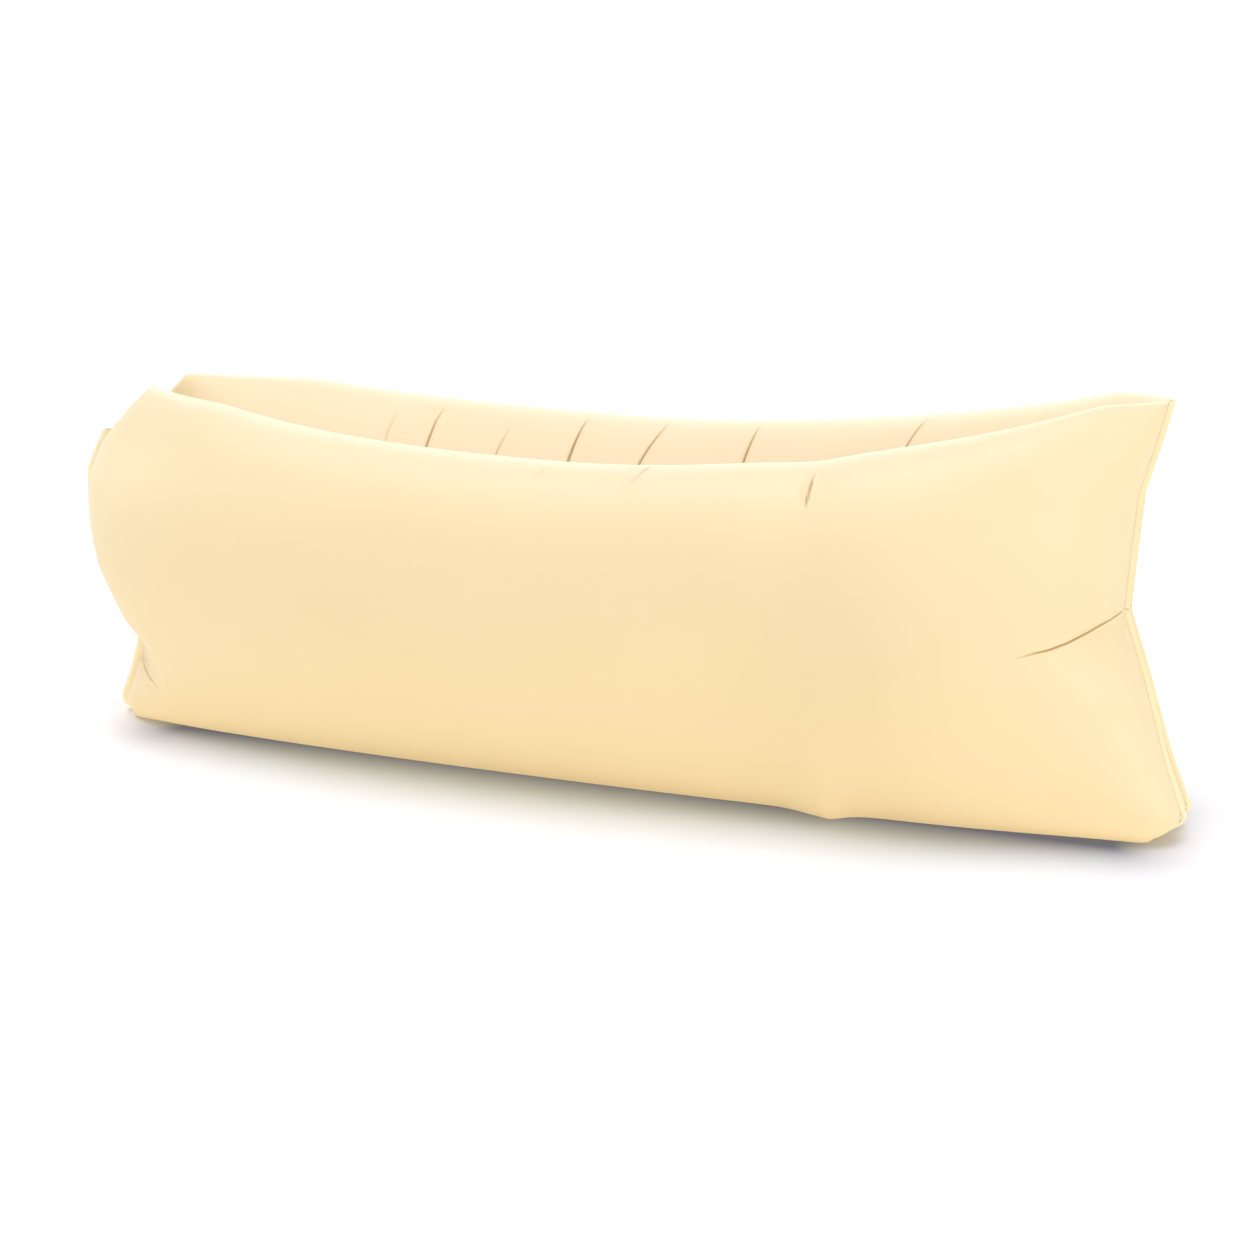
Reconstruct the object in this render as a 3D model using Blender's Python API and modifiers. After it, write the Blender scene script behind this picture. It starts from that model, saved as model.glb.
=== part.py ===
"""Inflatable air lounger: two long air chambers side by side, with a valley to lie in.

Metres, +Z up. The origin is on the floor under the middle of the lounger.
+X runs to the high head end, -X to the rolled mouth, and -Y is the front chamber.
"""

import math

import bmesh
import bpy
import numpy as np
from mathutils import Matrix

MM = 0.001

# Overall sizes of the inflated lounger
OVERALL_LENGTH = 1.975
HEAD_HEIGHT = 0.706
MOUTH_HEIGHT = 0.620
WAIST_HEIGHT = 0.586
REAR_RIM_DROP = 0.022

# Section of one chamber half way along, and how far its middle stands from the centre plane
CHAMBER_SWELL = 0.172
CHAMBER_OFFSET = 0.148
LEAN_PER_HEIGHT = 0.310

# The two flat ends of a chamber
END_HALF_THICKNESS = 4.5 * MM
HEAD_LEG_OFFSET = 0.013
HEAD_FOOT_OFFSET = 0.030
MOUTH_LEG_OFFSET = 0.050
MOUTH_FOOT_OFFSET = 0.035
EAR_OFFSET = 0.060

# Walls and the gap that touching pieces keep
COVER_WALL = 1.0 * MM
LINER_WALL = 0.8 * MM
REST_GAP = 0.3 * MM

# Kink at the front rim where the tube gives a little, the dent and ridge beside it, and the end folds
KINK_PLACE = 0.415
KINK_DEPTH = 0.014
KINK_REACH = 0.060
KINK_RISE_POWER = 4
RIDGE_PLACE = 0.600
RIDGE_SWELL = 0.026
RIDGE_REACH = 0.160
RIDGE_HEIGHT = 0.330
RIDGE_SPREAD = 0.450
DENT_PLACE = 0.350
DENT_DEPTH = 0.024
DENT_REACH = 0.130
DENT_HEIGHT = 0.280
DENT_SPREAD = 0.165
KINK_LOBE = 0.045
KINK_LOBE_REACH = 0.050
KINK_LOBE_HEIGHT = 0.060
RIM_DIP = 0.006
END_FOLD_SHARE = 0.45
END_FOLD_HEIGHT_SHARE = 0.07
END_FOLD_START_SHARE = 0.86

# Joining tape between the chambers, and the hem of the head end
SEAM_LENGTH = 1.44
SEAM_HEIGHT = 0.060
SEAM_THICKNESS = 2.4 * MM
SEAM_RISE = 0.090
HEM_DEPTH = 11.0 * MM
HEM_EDGE_HALF = 1.8 * MM

# Rolled mouth and the two stiffening strips inside it
ROLL_DEPTH = 24.0 * MM
ROLL_HALF_THICKNESS = 8.0 * MM
ROLL_SEAT_GAP = 0.5 * MM
ROLL_TURN_RADIUS = 20.0 * MM
ROLL_FLOOR_GAP = 2.5 * MM
BATTEN_THICKNESS = 1.2 * MM
BATTEN_WIDTH = 18.5 * MM

# Side-release buckle on webbing: height of its middle as a share of the mouth's, and its own sizes
BUCKLE_HEIGHT_SHARE = 0.8065
WEBBING_WIDTH = 20.0 * MM
WEBBING_THICKNESS = 1.0 * MM
WEBBING_TAB = 9.0 * MM
WEBBING_TAIL = 12.0 * MM
WEBBING_BEND_RADIUS = 2.0 * MM
BUCKLE_THICKNESS = 9.0 * MM
BUCKLE_SIDE_WALL = 3.5 * MM
BUCKLE_END_GAP = 1.5 * MM
BUCKLE_EDGE = 0.8 * MM
FRAME_THICKNESS = 3.6 * MM
FRAME_EDGE = 1.0 * MM
BAR_LENGTH = 2.5 * MM
SLOT_LENGTH = 3.0 * MM
SOCKET_LENGTH = 21.0 * MM
THROAT_DEPTH = 17.5 * MM
THROAT_HEIGHT = 5.0 * MM
THROAT_WIDTH = 20.0 * MM
WINDOW_END = 16.0 * MM
LIP_LENGTH = 5.6 * MM
PLUG_LENGTH = 6.0 * MM
TONGUE_LENGTH = 14.0 * MM
TONGUE_HALF_WIDTH = 1.4 * MM
PRONG_THICKNESS = 4.4 * MM
PRONG_HALF_WIDTH = 1.1 * MM
PRONG_LENGTH = 17.7 * MM
PRONG_PIVOT_DEPTH = 1.8 * MM
PRONG_SIDE_GAP = 0.4 * MM
BARB_HEIGHT = 1.1 * MM
BARB_RAMP = 1.6 * MM
BARB_SETBACK = 2.4 * MM
PAD_HEIGHT = 2.4 * MM

# How finely the forms are divided
STATIONS = 21
RING_POINTS = 24
TURN_STEPS = 5
BEND_STEPS = 4

# Shape laws of a chamber, as powers of the place along it, from 0 in the middle to 1 at an end
END_CLOSING_POWER = 6
END_DRAW_POWER = 2.5
OUTLINE_POWER = 4
HEAD_RISE_POWER = 1.7
HEAD_RISE_END_SHARE = 0.88
MOUTH_RISE_POWER = 2.3
MOUTH_RISE_END_SHARE = 0.70
FLAT_END_POWER = 24
FLAT_END_ROUNDNESS = 0.35

# Outline of each end seen from the side: share of the end's height, share of its reach
HEAD_OUTLINE_SHARES = (
    (0.000, 0.978), (0.050, 1.000), (0.190, 0.962), (0.370, 0.922), (0.503, 0.884),
    (0.667, 0.894), (0.790, 0.900), (0.900, 0.919), (1.000, 0.934),
)
MOUTH_OUTLINE_SHARES = (
    (0.000, 0.950), (0.050, 0.963), (0.132, 0.942), (0.237, 0.915), (0.360, 0.952),
    (0.490, 0.988), (0.625, 1.000), (0.745, 0.992), (0.850, 0.962), (0.932, 0.915), (1.000, 0.865),
)
# Heights at which the mouth's edge changes its distance from the centre plane, and below which
# the head's edge spreads towards its foot
LEG_HEIGHT_SHARES = (0.0, 0.30, 0.60, 0.86, 0.93)
HEAD_SPREAD_SHARE = 0.30
HEAD_FOLD_SHARE = 0.50
MOUTH_FOLD_SHARE = 0.237
MOUTH_TOP_SHARE = 0.86

HALF_LENGTH = OVERALL_LENGTH / 2
BUCKLE_HEIGHT = MOUTH_HEIGHT * BUCKLE_HEIGHT_SHARE
MOUTH_REACH = HALF_LENGTH - ROLL_DEPTH - ROLL_SEAT_GAP
CONTACT_OFFSET = SEAM_THICKNESS / 2 + REST_GAP
WEBBING_OFFSET = FRAME_THICKNESS / 2 + REST_GAP + WEBBING_THICKNESS / 2
THROAT_HALF_WIDTH = THROAT_WIDTH / 2
SLOT_HALF_WIDTH = WEBBING_WIDTH / 2 + REST_GAP * 2
BUCKLE_HALF_WIDTH = THROAT_HALF_WIDTH + BUCKLE_SIDE_WALL
PRONG_OFFSET = THROAT_HALF_WIDTH - PRONG_SIDE_GAP - PRONG_HALF_WIDTH
FRAME_LENGTH = BAR_LENGTH + SLOT_LENGTH + FRAME_EDGE


def clear_scene():
    for old in list(bpy.data.objects):
        bpy.data.objects.remove(old, do_unlink=True)


def make_collection(name):
    collection = bpy.data.collections.new(name)
    bpy.context.scene.collection.children.link(collection)
    return collection


def make_material(name, colour, roughness, metallic=0.0):
    material = bpy.data.materials.new(name)
    material.use_nodes = True
    shader = material.node_tree.nodes["Principled BSDF"]
    shader.inputs["Base Color"].default_value = (*colour, 1.0)
    shader.inputs["Roughness"].default_value = roughness
    shader.inputs["Metallic"].default_value = metallic
    return material


def add_object(name, mesh, material, collection):
    thing = bpy.data.objects.new(name, mesh)
    mesh.materials.append(material)
    collection.objects.link(thing)
    return thing


def mesh_from(name, points, faces):
    mesh = bpy.data.meshes.new(name)
    mesh.from_pydata([tuple(float(value) for value in point) for point in points], [], faces)
    mesh.validate()
    mesh.update()
    return mesh


def round_shading(thing, limit_degrees=50.0):
    thing.data.shade_smooth()
    thing.data.set_sharp_from_angle(angle=math.radians(limit_degrees))


def add_wall(thing, thickness, skip):
    """Solidify inwards, starting the wall `skip` below the surface."""
    wall = thing.modifiers.new("wall", "SOLIDIFY")
    wall.thickness = thickness
    wall.offset = -1.0 - 2.0 * skip / thickness
    wall.use_even_offset = True
    wall.use_quality_normals = True
    wall.use_rim = True


def read_shares(table, height_share):
    heights = [row[0] for row in table]
    values = [row[1] for row in table]
    return np.interp(height_share, heights, values)


def rim_height(along, is_rear):
    """Height of a chamber's rim: low at the waist, rising to both ends."""
    head_rise = np.minimum(1.0, along / HEAD_RISE_END_SHARE)
    mouth_rise = np.minimum(1.0, -along / MOUTH_RISE_END_SHARE)
    to_head = (HEAD_HEIGHT - WAIST_HEIGHT) * np.maximum(0.0, head_rise) ** HEAD_RISE_POWER
    to_mouth = (MOUTH_HEIGHT - WAIST_HEIGHT) * np.maximum(0.0, mouth_rise) ** MOUTH_RISE_POWER
    height = WAIST_HEIGHT + to_head + to_mouth
    if is_rear:
        return height - REAR_RIM_DROP * (1.0 - along ** 4)
    near_kink = np.exp(-((along * HALF_LENGTH - KINK_PLACE) / KINK_REACH) ** 2)
    return height - RIM_DIP * near_kink


def ring_levels():
    """Ring angles from the outer side over the top, and each point's share of the height."""
    turn = np.arange(RING_POINTS) * 2.0 * math.pi / RING_POINTS
    lowest = math.sin(-math.pi / 2.0 + 2.0 * math.pi / RING_POINTS)
    level = np.clip((np.sin(turn) - lowest) / (1.0 - lowest), 0.0, 1.0)
    return turn, level


def mouth_offset(level):
    steps = (MOUTH_FOOT_OFFSET, MOUTH_FOOT_OFFSET, MOUTH_LEG_OFFSET, MOUTH_LEG_OFFSET, EAR_OFFSET)
    return np.interp(level, LEG_HEIGHT_SHARES, steps)


def head_offset(level):
    """Distance of the head's edge from the centre plane: spread at the foot, close together above."""
    share = np.minimum(1.0, level / HEAD_SPREAD_SHARE)
    return HEAD_FOOT_OFFSET + (HEAD_LEG_OFFSET - HEAD_FOOT_OFFSET) * share


def front_relief(x, z, level):
    """How far the front chamber's outer side stands out, at its ridge, or in, at its dent and kink."""
    near_kink = np.exp(-((x - KINK_PLACE) / KINK_REACH) ** 2)
    near_ridge = np.exp(
        -((x - RIDGE_PLACE) / RIDGE_REACH) ** 2 - ((z - RIDGE_HEIGHT) / RIDGE_SPREAD) ** 2)
    near_dent = np.exp(
        -((x - DENT_PLACE) / DENT_REACH) ** 2 - ((z - DENT_HEIGHT) / DENT_SPREAD) ** 2)
    kink = KINK_DEPTH * near_kink * level ** KINK_RISE_POWER
    return RIDGE_SWELL * near_ridge - DENT_DEPTH * near_dent - kink


def end_fold(level, along, fold_share):
    """How far the chamber's thickness is pinched by the fold at an end, 0 to END_FOLD_SHARE."""
    across = np.exp(-((level - fold_share) / END_FOLD_HEIGHT_SHARE) ** 2)
    inward = np.clip((along - END_FOLD_START_SHARE) / (1.0 - END_FOLD_START_SHARE), 0.0, 1.0)
    return END_FOLD_SHARE * across * inward


def chamber_points(is_rear):
    """Loft of one chamber: rings of points from the mouth to the head end.

    Each ring is an oval that leans outward at the top, flat where it rests on the floor,
    pressed flat where it meets the other chamber, and drawn to a thin upright line at the ends.
    """
    side = 1.0 if is_rear else -1.0
    place = np.linspace(-1.0, 1.0, STATIONS)
    along = np.sin(math.pi / 2.0 * place)[:, None]
    turn, level = ring_levels()
    level = level[None, :]
    distance = np.abs(along)
    height = rim_height(along, is_rear)
    z = level * height

    head_reach = HALF_LENGTH * read_shares(HEAD_OUTLINE_SHARES, level) - HEM_DEPTH - REST_GAP
    mouth_reach = MOUTH_REACH * read_shares(MOUTH_OUTLINE_SHARES, level)
    reach = np.where(along > 0.0, head_reach, mouth_reach)
    straight = np.where(along > 0.0, HALF_LENGTH - HEM_DEPTH - REST_GAP, MOUTH_REACH)
    x = np.sign(along) * (straight * distance + (reach - straight) * distance ** OUTLINE_POWER)

    end_offset = np.where(along > 0.0, head_offset(level), mouth_offset(level))
    drawn = distance ** END_DRAW_POWER
    middle = CHAMBER_OFFSET + (end_offset - CHAMBER_OFFSET) * drawn
    swell = CHAMBER_SWELL * np.sqrt(1.0 - distance ** END_CLOSING_POWER)
    pinch = end_fold(level, along, HEAD_FOLD_SHARE) + end_fold(level, -along, MOUTH_FOLD_SHARE)
    thick = swell * (1.0 - pinch) + END_HALF_THICKNESS
    power = 1.0 - (1.0 - FLAT_END_ROUNDNESS) * distance ** FLAT_END_POWER
    across = np.cos(turn)[None, :]
    across = np.where(np.abs(across) < 1e-9, 0.0, across)
    lean = LEAN_PER_HEIGHT * (1.0 - drawn)
    y = middle + thick * np.sign(across) * np.abs(across) ** power + lean * (z - height / 2.0)
    if not is_rear:
        near_lobe = np.exp(-((x - KINK_PLACE) / KINK_LOBE_REACH) ** 2 - z / KINK_LOBE_HEIGHT)
        outer = np.maximum(0.0, across)
        y = y + front_relief(x, z, level) * outer + KINK_LOBE * near_lobe * np.sqrt(outer)
    y = side * np.maximum(y, CONTACT_OFFSET)
    return np.stack(np.broadcast_arrays(x, y, z), axis=-1)


def mouth_top_step():
    """Ring step at which the rolled part of the mouth ends and its sewn corner starts."""
    level = ring_levels()[1][:RING_POINTS // 4]
    return int(np.argmin(np.abs(level - MOUTH_TOP_SHARE)))


def cap_faces(ring_start, lowest_step, is_outward):
    """Triangles that close a flat end from height step `lowest_step` up to the top."""
    half = RING_POINTS // 2
    top = half // 2
    faces = []
    closes_foot = lowest_step < 0
    for step in range(lowest_step + closes_foot, top - 1):
        outer = ring_start + step % RING_POINTS
        outer_up = ring_start + (step + 1) % RING_POINTS
        inner = ring_start + (half - step) % RING_POINTS
        inner_up = ring_start + (half - step - 1) % RING_POINTS
        faces.append((outer, outer_up, inner_up))
        faces.append((outer, inner_up, inner))
    faces.append((ring_start + top - 1, ring_start + top, ring_start + top + 1))
    if closes_foot:
        bottom = ring_start + 3 * top
        faces.append((bottom + 1, bottom + 2, bottom))
        faces.append((bottom + 2, bottom - 2, bottom))
        faces.append((bottom - 2, bottom - 1, bottom))
    if is_outward:
        return faces
    return [tuple(reversed(face)) for face in faces]


def chamber_mesh(name, is_rear):
    """Skin of a chamber, closed at the head and open along the rolled part of the mouth."""
    points = chamber_points(is_rear)
    faces = []
    for station in range(STATIONS - 1):
        for step in range(RING_POINTS):
            here = station * RING_POINTS + step
            beside = station * RING_POINTS + (step + 1) % RING_POINTS
            faces.append((here, beside, beside + RING_POINTS))
            faces.append((here, beside + RING_POINTS, here + RING_POINTS))
    faces += cap_faces((STATIONS - 1) * RING_POINTS, 1 - RING_POINTS // 4, True)
    faces += cap_faces(0, mouth_top_step(), False)
    if not is_rear:
        faces = [tuple(reversed(face)) for face in faces]
    return mesh_from(name, points.reshape(-1, 3), faces)


def make_chamber(name, is_rear, thickness, skip, material, collection):
    chamber = add_object(name, chamber_mesh(name, is_rear), material, collection)
    add_wall(chamber, thickness, skip)
    round_shading(chamber)
    return chamber


def end_line(is_rear, is_head):
    """Middle line of a chamber's flat end, from the floor to the top ear."""
    rings = chamber_points(is_rear)
    ring = rings[-1] if is_head else rings[0]
    half = RING_POINTS // 2
    top = half // 2
    line = []
    for step in range(-(top - 1), top + 1):
        line.append((ring[step % RING_POINTS] + ring[(half - step) % RING_POINTS]) / 2.0)
    return line


def carry_section(name, path, section, material, collection):
    """Carry a closed outline along a path of (point, depth axis, width axis)."""
    count = len(section)
    points = []
    for origin, depth_axis, width_axis in path:
        for depth, width in section:
            points.append(origin + depth_axis * depth + width_axis * width)
    faces = []
    for station in range(len(path) - 1):
        for step in range(count):
            here = station * count + step
            beside = station * count + (step + 1) % count
            faces.append((here, beside, beside + count, here + count))
    last = (len(path) - 1) * count
    faces.append(tuple(reversed(range(count))))
    faces.append(tuple(range(last, last + count)))
    mesh = mesh_from(name, points, faces)
    thing = add_object(name, mesh, material, collection)
    face_outwards(thing)
    return thing


def face_outwards(thing):
    work = bmesh.new()
    work.from_mesh(thing.data)
    bmesh.ops.recalc_face_normals(work, faces=work.faces)
    work.to_mesh(thing.data)
    work.free()


def make_head_hem(name, is_rear, material, collection):
    """Folded binding that closes the flat head end of one chamber."""
    line = end_line(is_rear, True)
    inner_half = END_HALF_THICKNESS - REST_GAP
    shoulder = (inner_half + HEM_EDGE_HALF) / 2.0
    section = (
        (REST_GAP, -inner_half), (HEM_DEPTH / 2.0, -shoulder), (HEM_DEPTH, -HEM_EDGE_HALF),
        (HEM_DEPTH, HEM_EDGE_HALF), (HEM_DEPTH / 2.0, shoulder), (REST_GAP, inner_half),
    )
    path = [(point, np.array((1.0, 0.0, 0.0)), np.array((0.0, 1.0, 0.0))) for point in line]
    hem = carry_section(name, path, section, material, collection)
    round_shading(hem)
    return hem


def make_joining_tape(name, material, collection):
    """Tape between the two chambers along the foot of the valley."""
    bpy.ops.mesh.primitive_cube_add(size=1.0)
    tape = bpy.context.object
    tape.name = name
    tape.data.name = name
    tape.data.transform(scale_matrix(SEAM_LENGTH, SEAM_THICKNESS, SEAM_HEIGHT))
    tape.location = (0.0, 0.0, SEAM_RISE + SEAM_HEIGHT / 2.0)
    return adopt(tape, material, collection)


def scale_matrix(size_x, size_y, size_z):
    return Matrix.Diagonal((size_x, size_y, size_z, 1.0))


def adopt(thing, material, collection):
    for owner in list(thing.users_collection):
        owner.objects.unlink(thing)
    collection.objects.link(thing)
    thing.data.materials.clear()
    if material:
        thing.data.materials.append(material)
    return thing


def mouth_leg(is_rear):
    """Mouth edge of one chamber from just above the floor to the roll's free end."""
    line = end_line(is_rear, False)
    lowest_step = 1 - RING_POINTS // 4
    return line[1:mouth_top_step() - lowest_step + 1]


def mouth_path():
    """U-shaped path of the roll: down the front leg, under, and up the rear leg."""
    outward_x = np.array((-1.0, 0.0, 0.0))
    path = []
    front = mouth_leg(False)
    rear = mouth_leg(True)
    for point in reversed(front):
        path.append((point, outward_x, np.array((0.0, -1.0, 0.0))))
    low_centre = ROLL_FLOOR_GAP + ROLL_HALF_THICKNESS
    foot_x = min(front[0][0], rear[0][0])
    foot_y = MOUTH_FOOT_OFFSET - ROLL_TURN_RADIUS
    for is_rear in (False, True):
        side = 1.0 if is_rear else -1.0
        angles = [math.pi / 2.0 * step / TURN_STEPS for step in range(TURN_STEPS + 1)]
        if is_rear:
            angles = list(reversed(angles))
        for angle in angles:
            out_y = side * math.cos(angle)
            down = -math.sin(angle)
            y = side * foot_y + ROLL_TURN_RADIUS * out_y
            z = low_centre + ROLL_TURN_RADIUS * (1.0 + down)
            path.append((np.array((foot_x, y, z)), outward_x, np.array((0.0, out_y, down))))
    for point in rear:
        path.append((point, outward_x, np.array((0.0, 1.0, 0.0))))
    return path


def make_mouth_roll(name, material, collection):
    """The mouth rolled up tight, with the slot in which the stiffening strips lie."""
    slot_half = BATTEN_THICKNESS + REST_GAP * 1.5
    slot_end = ROLL_SEAT_GAP + BATTEN_WIDTH + 2.0 * REST_GAP
    full = ROLL_HALF_THICKNESS
    near = ROLL_SEAT_GAP
    far = ROLL_SEAT_GAP + ROLL_DEPTH
    half_section = (
        (near, slot_half), (near, full * 0.75), (near + full * 0.4, full),
        (far - full, full), (far - full * 0.35, full * 0.8), (far, full * 0.35),
    )
    mirrored = [(depth, -width) for depth, width in reversed(half_section)]
    slot = [(slot_end, -slot_half), (slot_end, slot_half)]
    section = list(half_section) + mirrored + slot
    roll = carry_section(name, mouth_path(), section, material, collection)
    round_shading(roll)
    return roll


def make_batten(name, is_outer, material, collection):
    """Thin plastic strip that lies in the roll and keeps the mouth flat while it is rolled."""
    side = 1.0 if is_outer else -1.0
    near_width = side * REST_GAP / 2.0
    far_width = side * (REST_GAP / 2.0 + BATTEN_THICKNESS)
    near = ROLL_SEAT_GAP + REST_GAP
    far = near + BATTEN_WIDTH
    section = ((near, near_width), (far, near_width), (far, far_width), (near, far_width))
    return carry_section(name, mouth_path(), section, material, collection)


def leg_inner_face():
    return MOUTH_LEG_OFFSET - ROLL_HALF_THICKNESS


def buckle_place():
    """Middle of the buckle: clear of the chambers' ends, between the legs of the roll."""
    level = (BUCKLE_HEIGHT - BUCKLE_HALF_WIDTH) / MOUTH_HEIGHT
    reach = MOUTH_REACH * read_shares(MOUTH_OUTLINE_SHARES, level)
    x = -reach - BUCKLE_END_GAP - BUCKLE_THICKNESS / 2.0
    socket_end = SOCKET_LENGTH + FRAME_LENGTH
    plug_end = PLUG_LENGTH + FRAME_LENGTH
    return x, (socket_end - plug_end) / 2.0, BUCKLE_HEIGHT


def make_block(name, low, high, collection, material=None, edge=0.0):
    """Box between two corners given as (along, across, through) from the buckle's middle."""
    x, y, z = buckle_place()
    size = [high[axis] - low[axis] for axis in range(3)]
    middle = [(high[axis] + low[axis]) / 2.0 for axis in range(3)]
    bpy.ops.mesh.primitive_cube_add(size=1.0)
    block = bpy.context.object
    block.name = name
    block.data.name = name
    block.data.transform(scale_matrix(size[2], size[0], size[1]))
    block.location = (x + middle[2], y + middle[0], z + middle[1])
    if edge > 0.0:
        rounding = block.modifiers.new("edge", "BEVEL")
        rounding.width = edge
        rounding.segments = 2
    return adopt(block, material, collection)


def combine(thing, other, operation):
    step = thing.modifiers.new(other.name, "BOOLEAN")
    step.operation = operation
    step.solver = "EXACT"
    step.object = other
    other.hide_render = True
    other.display_type = "WIRE"


def make_socket(name, material, collection, cutters):
    """Socket: a thick mouthpiece with side windows, and a thin frame for the webbing."""
    half = BUCKLE_HALF_WIDTH
    deep = BUCKLE_THICKNESS / 2.0
    frame_half = FRAME_THICKNESS / 2.0
    throat = THROAT_HEIGHT / 2.0
    far = -SOCKET_LENGTH - FRAME_LENGTH
    back = -SOCKET_LENGTH
    shell = ((back, -half, -deep), (0.0, half, deep))
    socket = make_block(name, *shell, collection, material, BUCKLE_EDGE)
    frame = make_block(
        "socket_frame", (far, -half + FRAME_EDGE, -frame_half),
        (back + FRAME_EDGE, half - FRAME_EDGE, frame_half), cutters)
    bore = make_block(
        "socket_throat", (-THROAT_DEPTH, -THROAT_HALF_WIDTH, -throat),
        (FRAME_EDGE, THROAT_HALF_WIDTH, throat), cutters)
    window = make_block(
        "socket_window", (-WINDOW_END, -half - FRAME_EDGE, -throat),
        (-LIP_LENGTH, half + FRAME_EDGE, throat), cutters)
    slot = make_block(
        "socket_slot", (far + BAR_LENGTH, -SLOT_HALF_WIDTH, -deep),
        (far + BAR_LENGTH + SLOT_LENGTH, SLOT_HALF_WIDTH, deep), cutters)
    combine(socket, frame, "UNION")
    for cutter in (bore, window, slot):
        combine(socket, cutter, "DIFFERENCE")
    return socket


def make_plug(name, material, collection, cutters):
    """Plug: a grip plate with a middle tongue, pockets for the prongs and a webbing frame."""
    half = BUCKLE_HALF_WIDTH
    deep = BUCKLE_THICKNESS / 2.0
    frame_half = FRAME_THICKNESS / 2.0
    pocket_half = PRONG_THICKNESS / 2.0 + REST_GAP
    start = REST_GAP
    far = start + PLUG_LENGTH + FRAME_LENGTH
    grip = ((start, -half, -deep), (start + PLUG_LENGTH, half, deep))
    plug = make_block(name, *grip, collection, material, BUCKLE_EDGE)
    tongue = make_block(
        "plug_tongue", (-TONGUE_LENGTH, -TONGUE_HALF_WIDTH, -PRONG_THICKNESS / 2.0),
        (start + FRAME_EDGE, TONGUE_HALF_WIDTH, PRONG_THICKNESS / 2.0), cutters)
    frame = make_block(
        "plug_frame", (start + PLUG_LENGTH - FRAME_EDGE, -half + FRAME_EDGE, -frame_half),
        (far, half - FRAME_EDGE, frame_half), cutters)
    slot = make_block(
        "plug_slot", (far - BAR_LENGTH - SLOT_LENGTH, -SLOT_HALF_WIDTH, -deep),
        (far - BAR_LENGTH, SLOT_HALF_WIDTH, deep), cutters)
    combine(plug, tongue, "UNION")
    combine(plug, frame, "UNION")
    combine(plug, slot, "DIFFERENCE")
    pocket_end = start + PRONG_PIVOT_DEPTH + PRONG_HALF_WIDTH + REST_GAP
    for side in (-1.0, 1.0):
        inner = side * (PRONG_OFFSET - 2.0 * PRONG_HALF_WIDTH)
        outer = side * (PRONG_OFFSET + PRONG_HALF_WIDTH + REST_GAP)
        pocket = make_block(
            "plug_pocket", (-FRAME_EDGE, min(inner, outer), -pocket_half),
            (pocket_end, max(inner, outer), pocket_half), cutters)
        combine(plug, pocket, "DIFFERENCE")
    return plug


def prong_outline():
    """Prong seen from its flat side: (along, outward) from its pivot, tip at negative along."""
    half = PRONG_HALF_WIDTH
    pivot = REST_GAP + PRONG_PIVOT_DEPTH
    shoulder = -LIP_LENGTH - BARB_SETBACK - pivot
    peak = shoulder - BARB_RAMP
    tip = -PRONG_LENGTH
    knuckle = [(half * math.sin(angle), -half * math.cos(angle))
               for angle in [math.pi * step / (2 * BEND_STEPS) for step in range(2 * BEND_STEPS + 1)]]
    barb = [
        (shoulder, half), (peak, half + BARB_HEIGHT), (peak * 0.45 + tip * 0.55, half + PAD_HEIGHT),
        (peak * 0.1 + tip * 0.9, half + BARB_HEIGHT * 1.3), (tip, half * 0.7), (tip, -half),
    ]
    return knuckle + barb


def make_prong(name, is_upper, material, collection):
    """Springy leg of the plug. Its origin is on the line about which it bends."""
    side = 1.0 if is_upper else -1.0
    x, y, z = buckle_place()
    outline = prong_outline()
    if not is_upper:
        outline = list(reversed(outline))
    points = [(-PRONG_THICKNESS / 2.0, along, side * outward) for along, outward in outline]
    mesh = mesh_from(name, points, [tuple(range(len(points)))])
    prong = add_object(name, mesh, material, collection)
    prong.location = (x, y + REST_GAP + PRONG_PIVOT_DEPTH, z + side * PRONG_OFFSET)
    sheet = prong.modifiers.new("thickness", "SOLIDIFY")
    sheet.thickness = PRONG_THICKNESS
    sheet.offset = -1.0 if prong.data.polygons[0].normal.x < 0.0 else 1.0
    return prong


def round_corners(points, radius):
    """Replace each inner corner of a path by an arc of the given radius."""
    path = [np.array(points[0])]
    for before, corner, after in zip(points, points[1:], points[2:]):
        before, corner, after = np.array(before), np.array(corner), np.array(after)
        back = (before - corner) / np.linalg.norm(before - corner)
        ahead = (after - corner) / np.linalg.norm(after - corner)
        half_angle = math.acos(float(np.clip(np.dot(back, ahead), -1.0, 1.0))) / 2.0
        cut = radius / math.tan(half_angle)
        centre = corner + (back + ahead) / np.linalg.norm(back + ahead) * radius / math.sin(half_angle)
        start = corner + back * cut - centre
        end = corner + ahead * cut - centre
        sweep = math.atan2(start[0] * end[1] - start[1] * end[0], float(np.dot(start, end)))
        for step in range(BEND_STEPS + 1):
            angle = sweep * step / BEND_STEPS
            turned = (start[0] * math.cos(angle) - start[1] * math.sin(angle),
                      start[0] * math.sin(angle) + start[1] * math.cos(angle))
            path.append(centre + np.array(turned))
    path.append(np.array(points[-1]))
    return path


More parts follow.
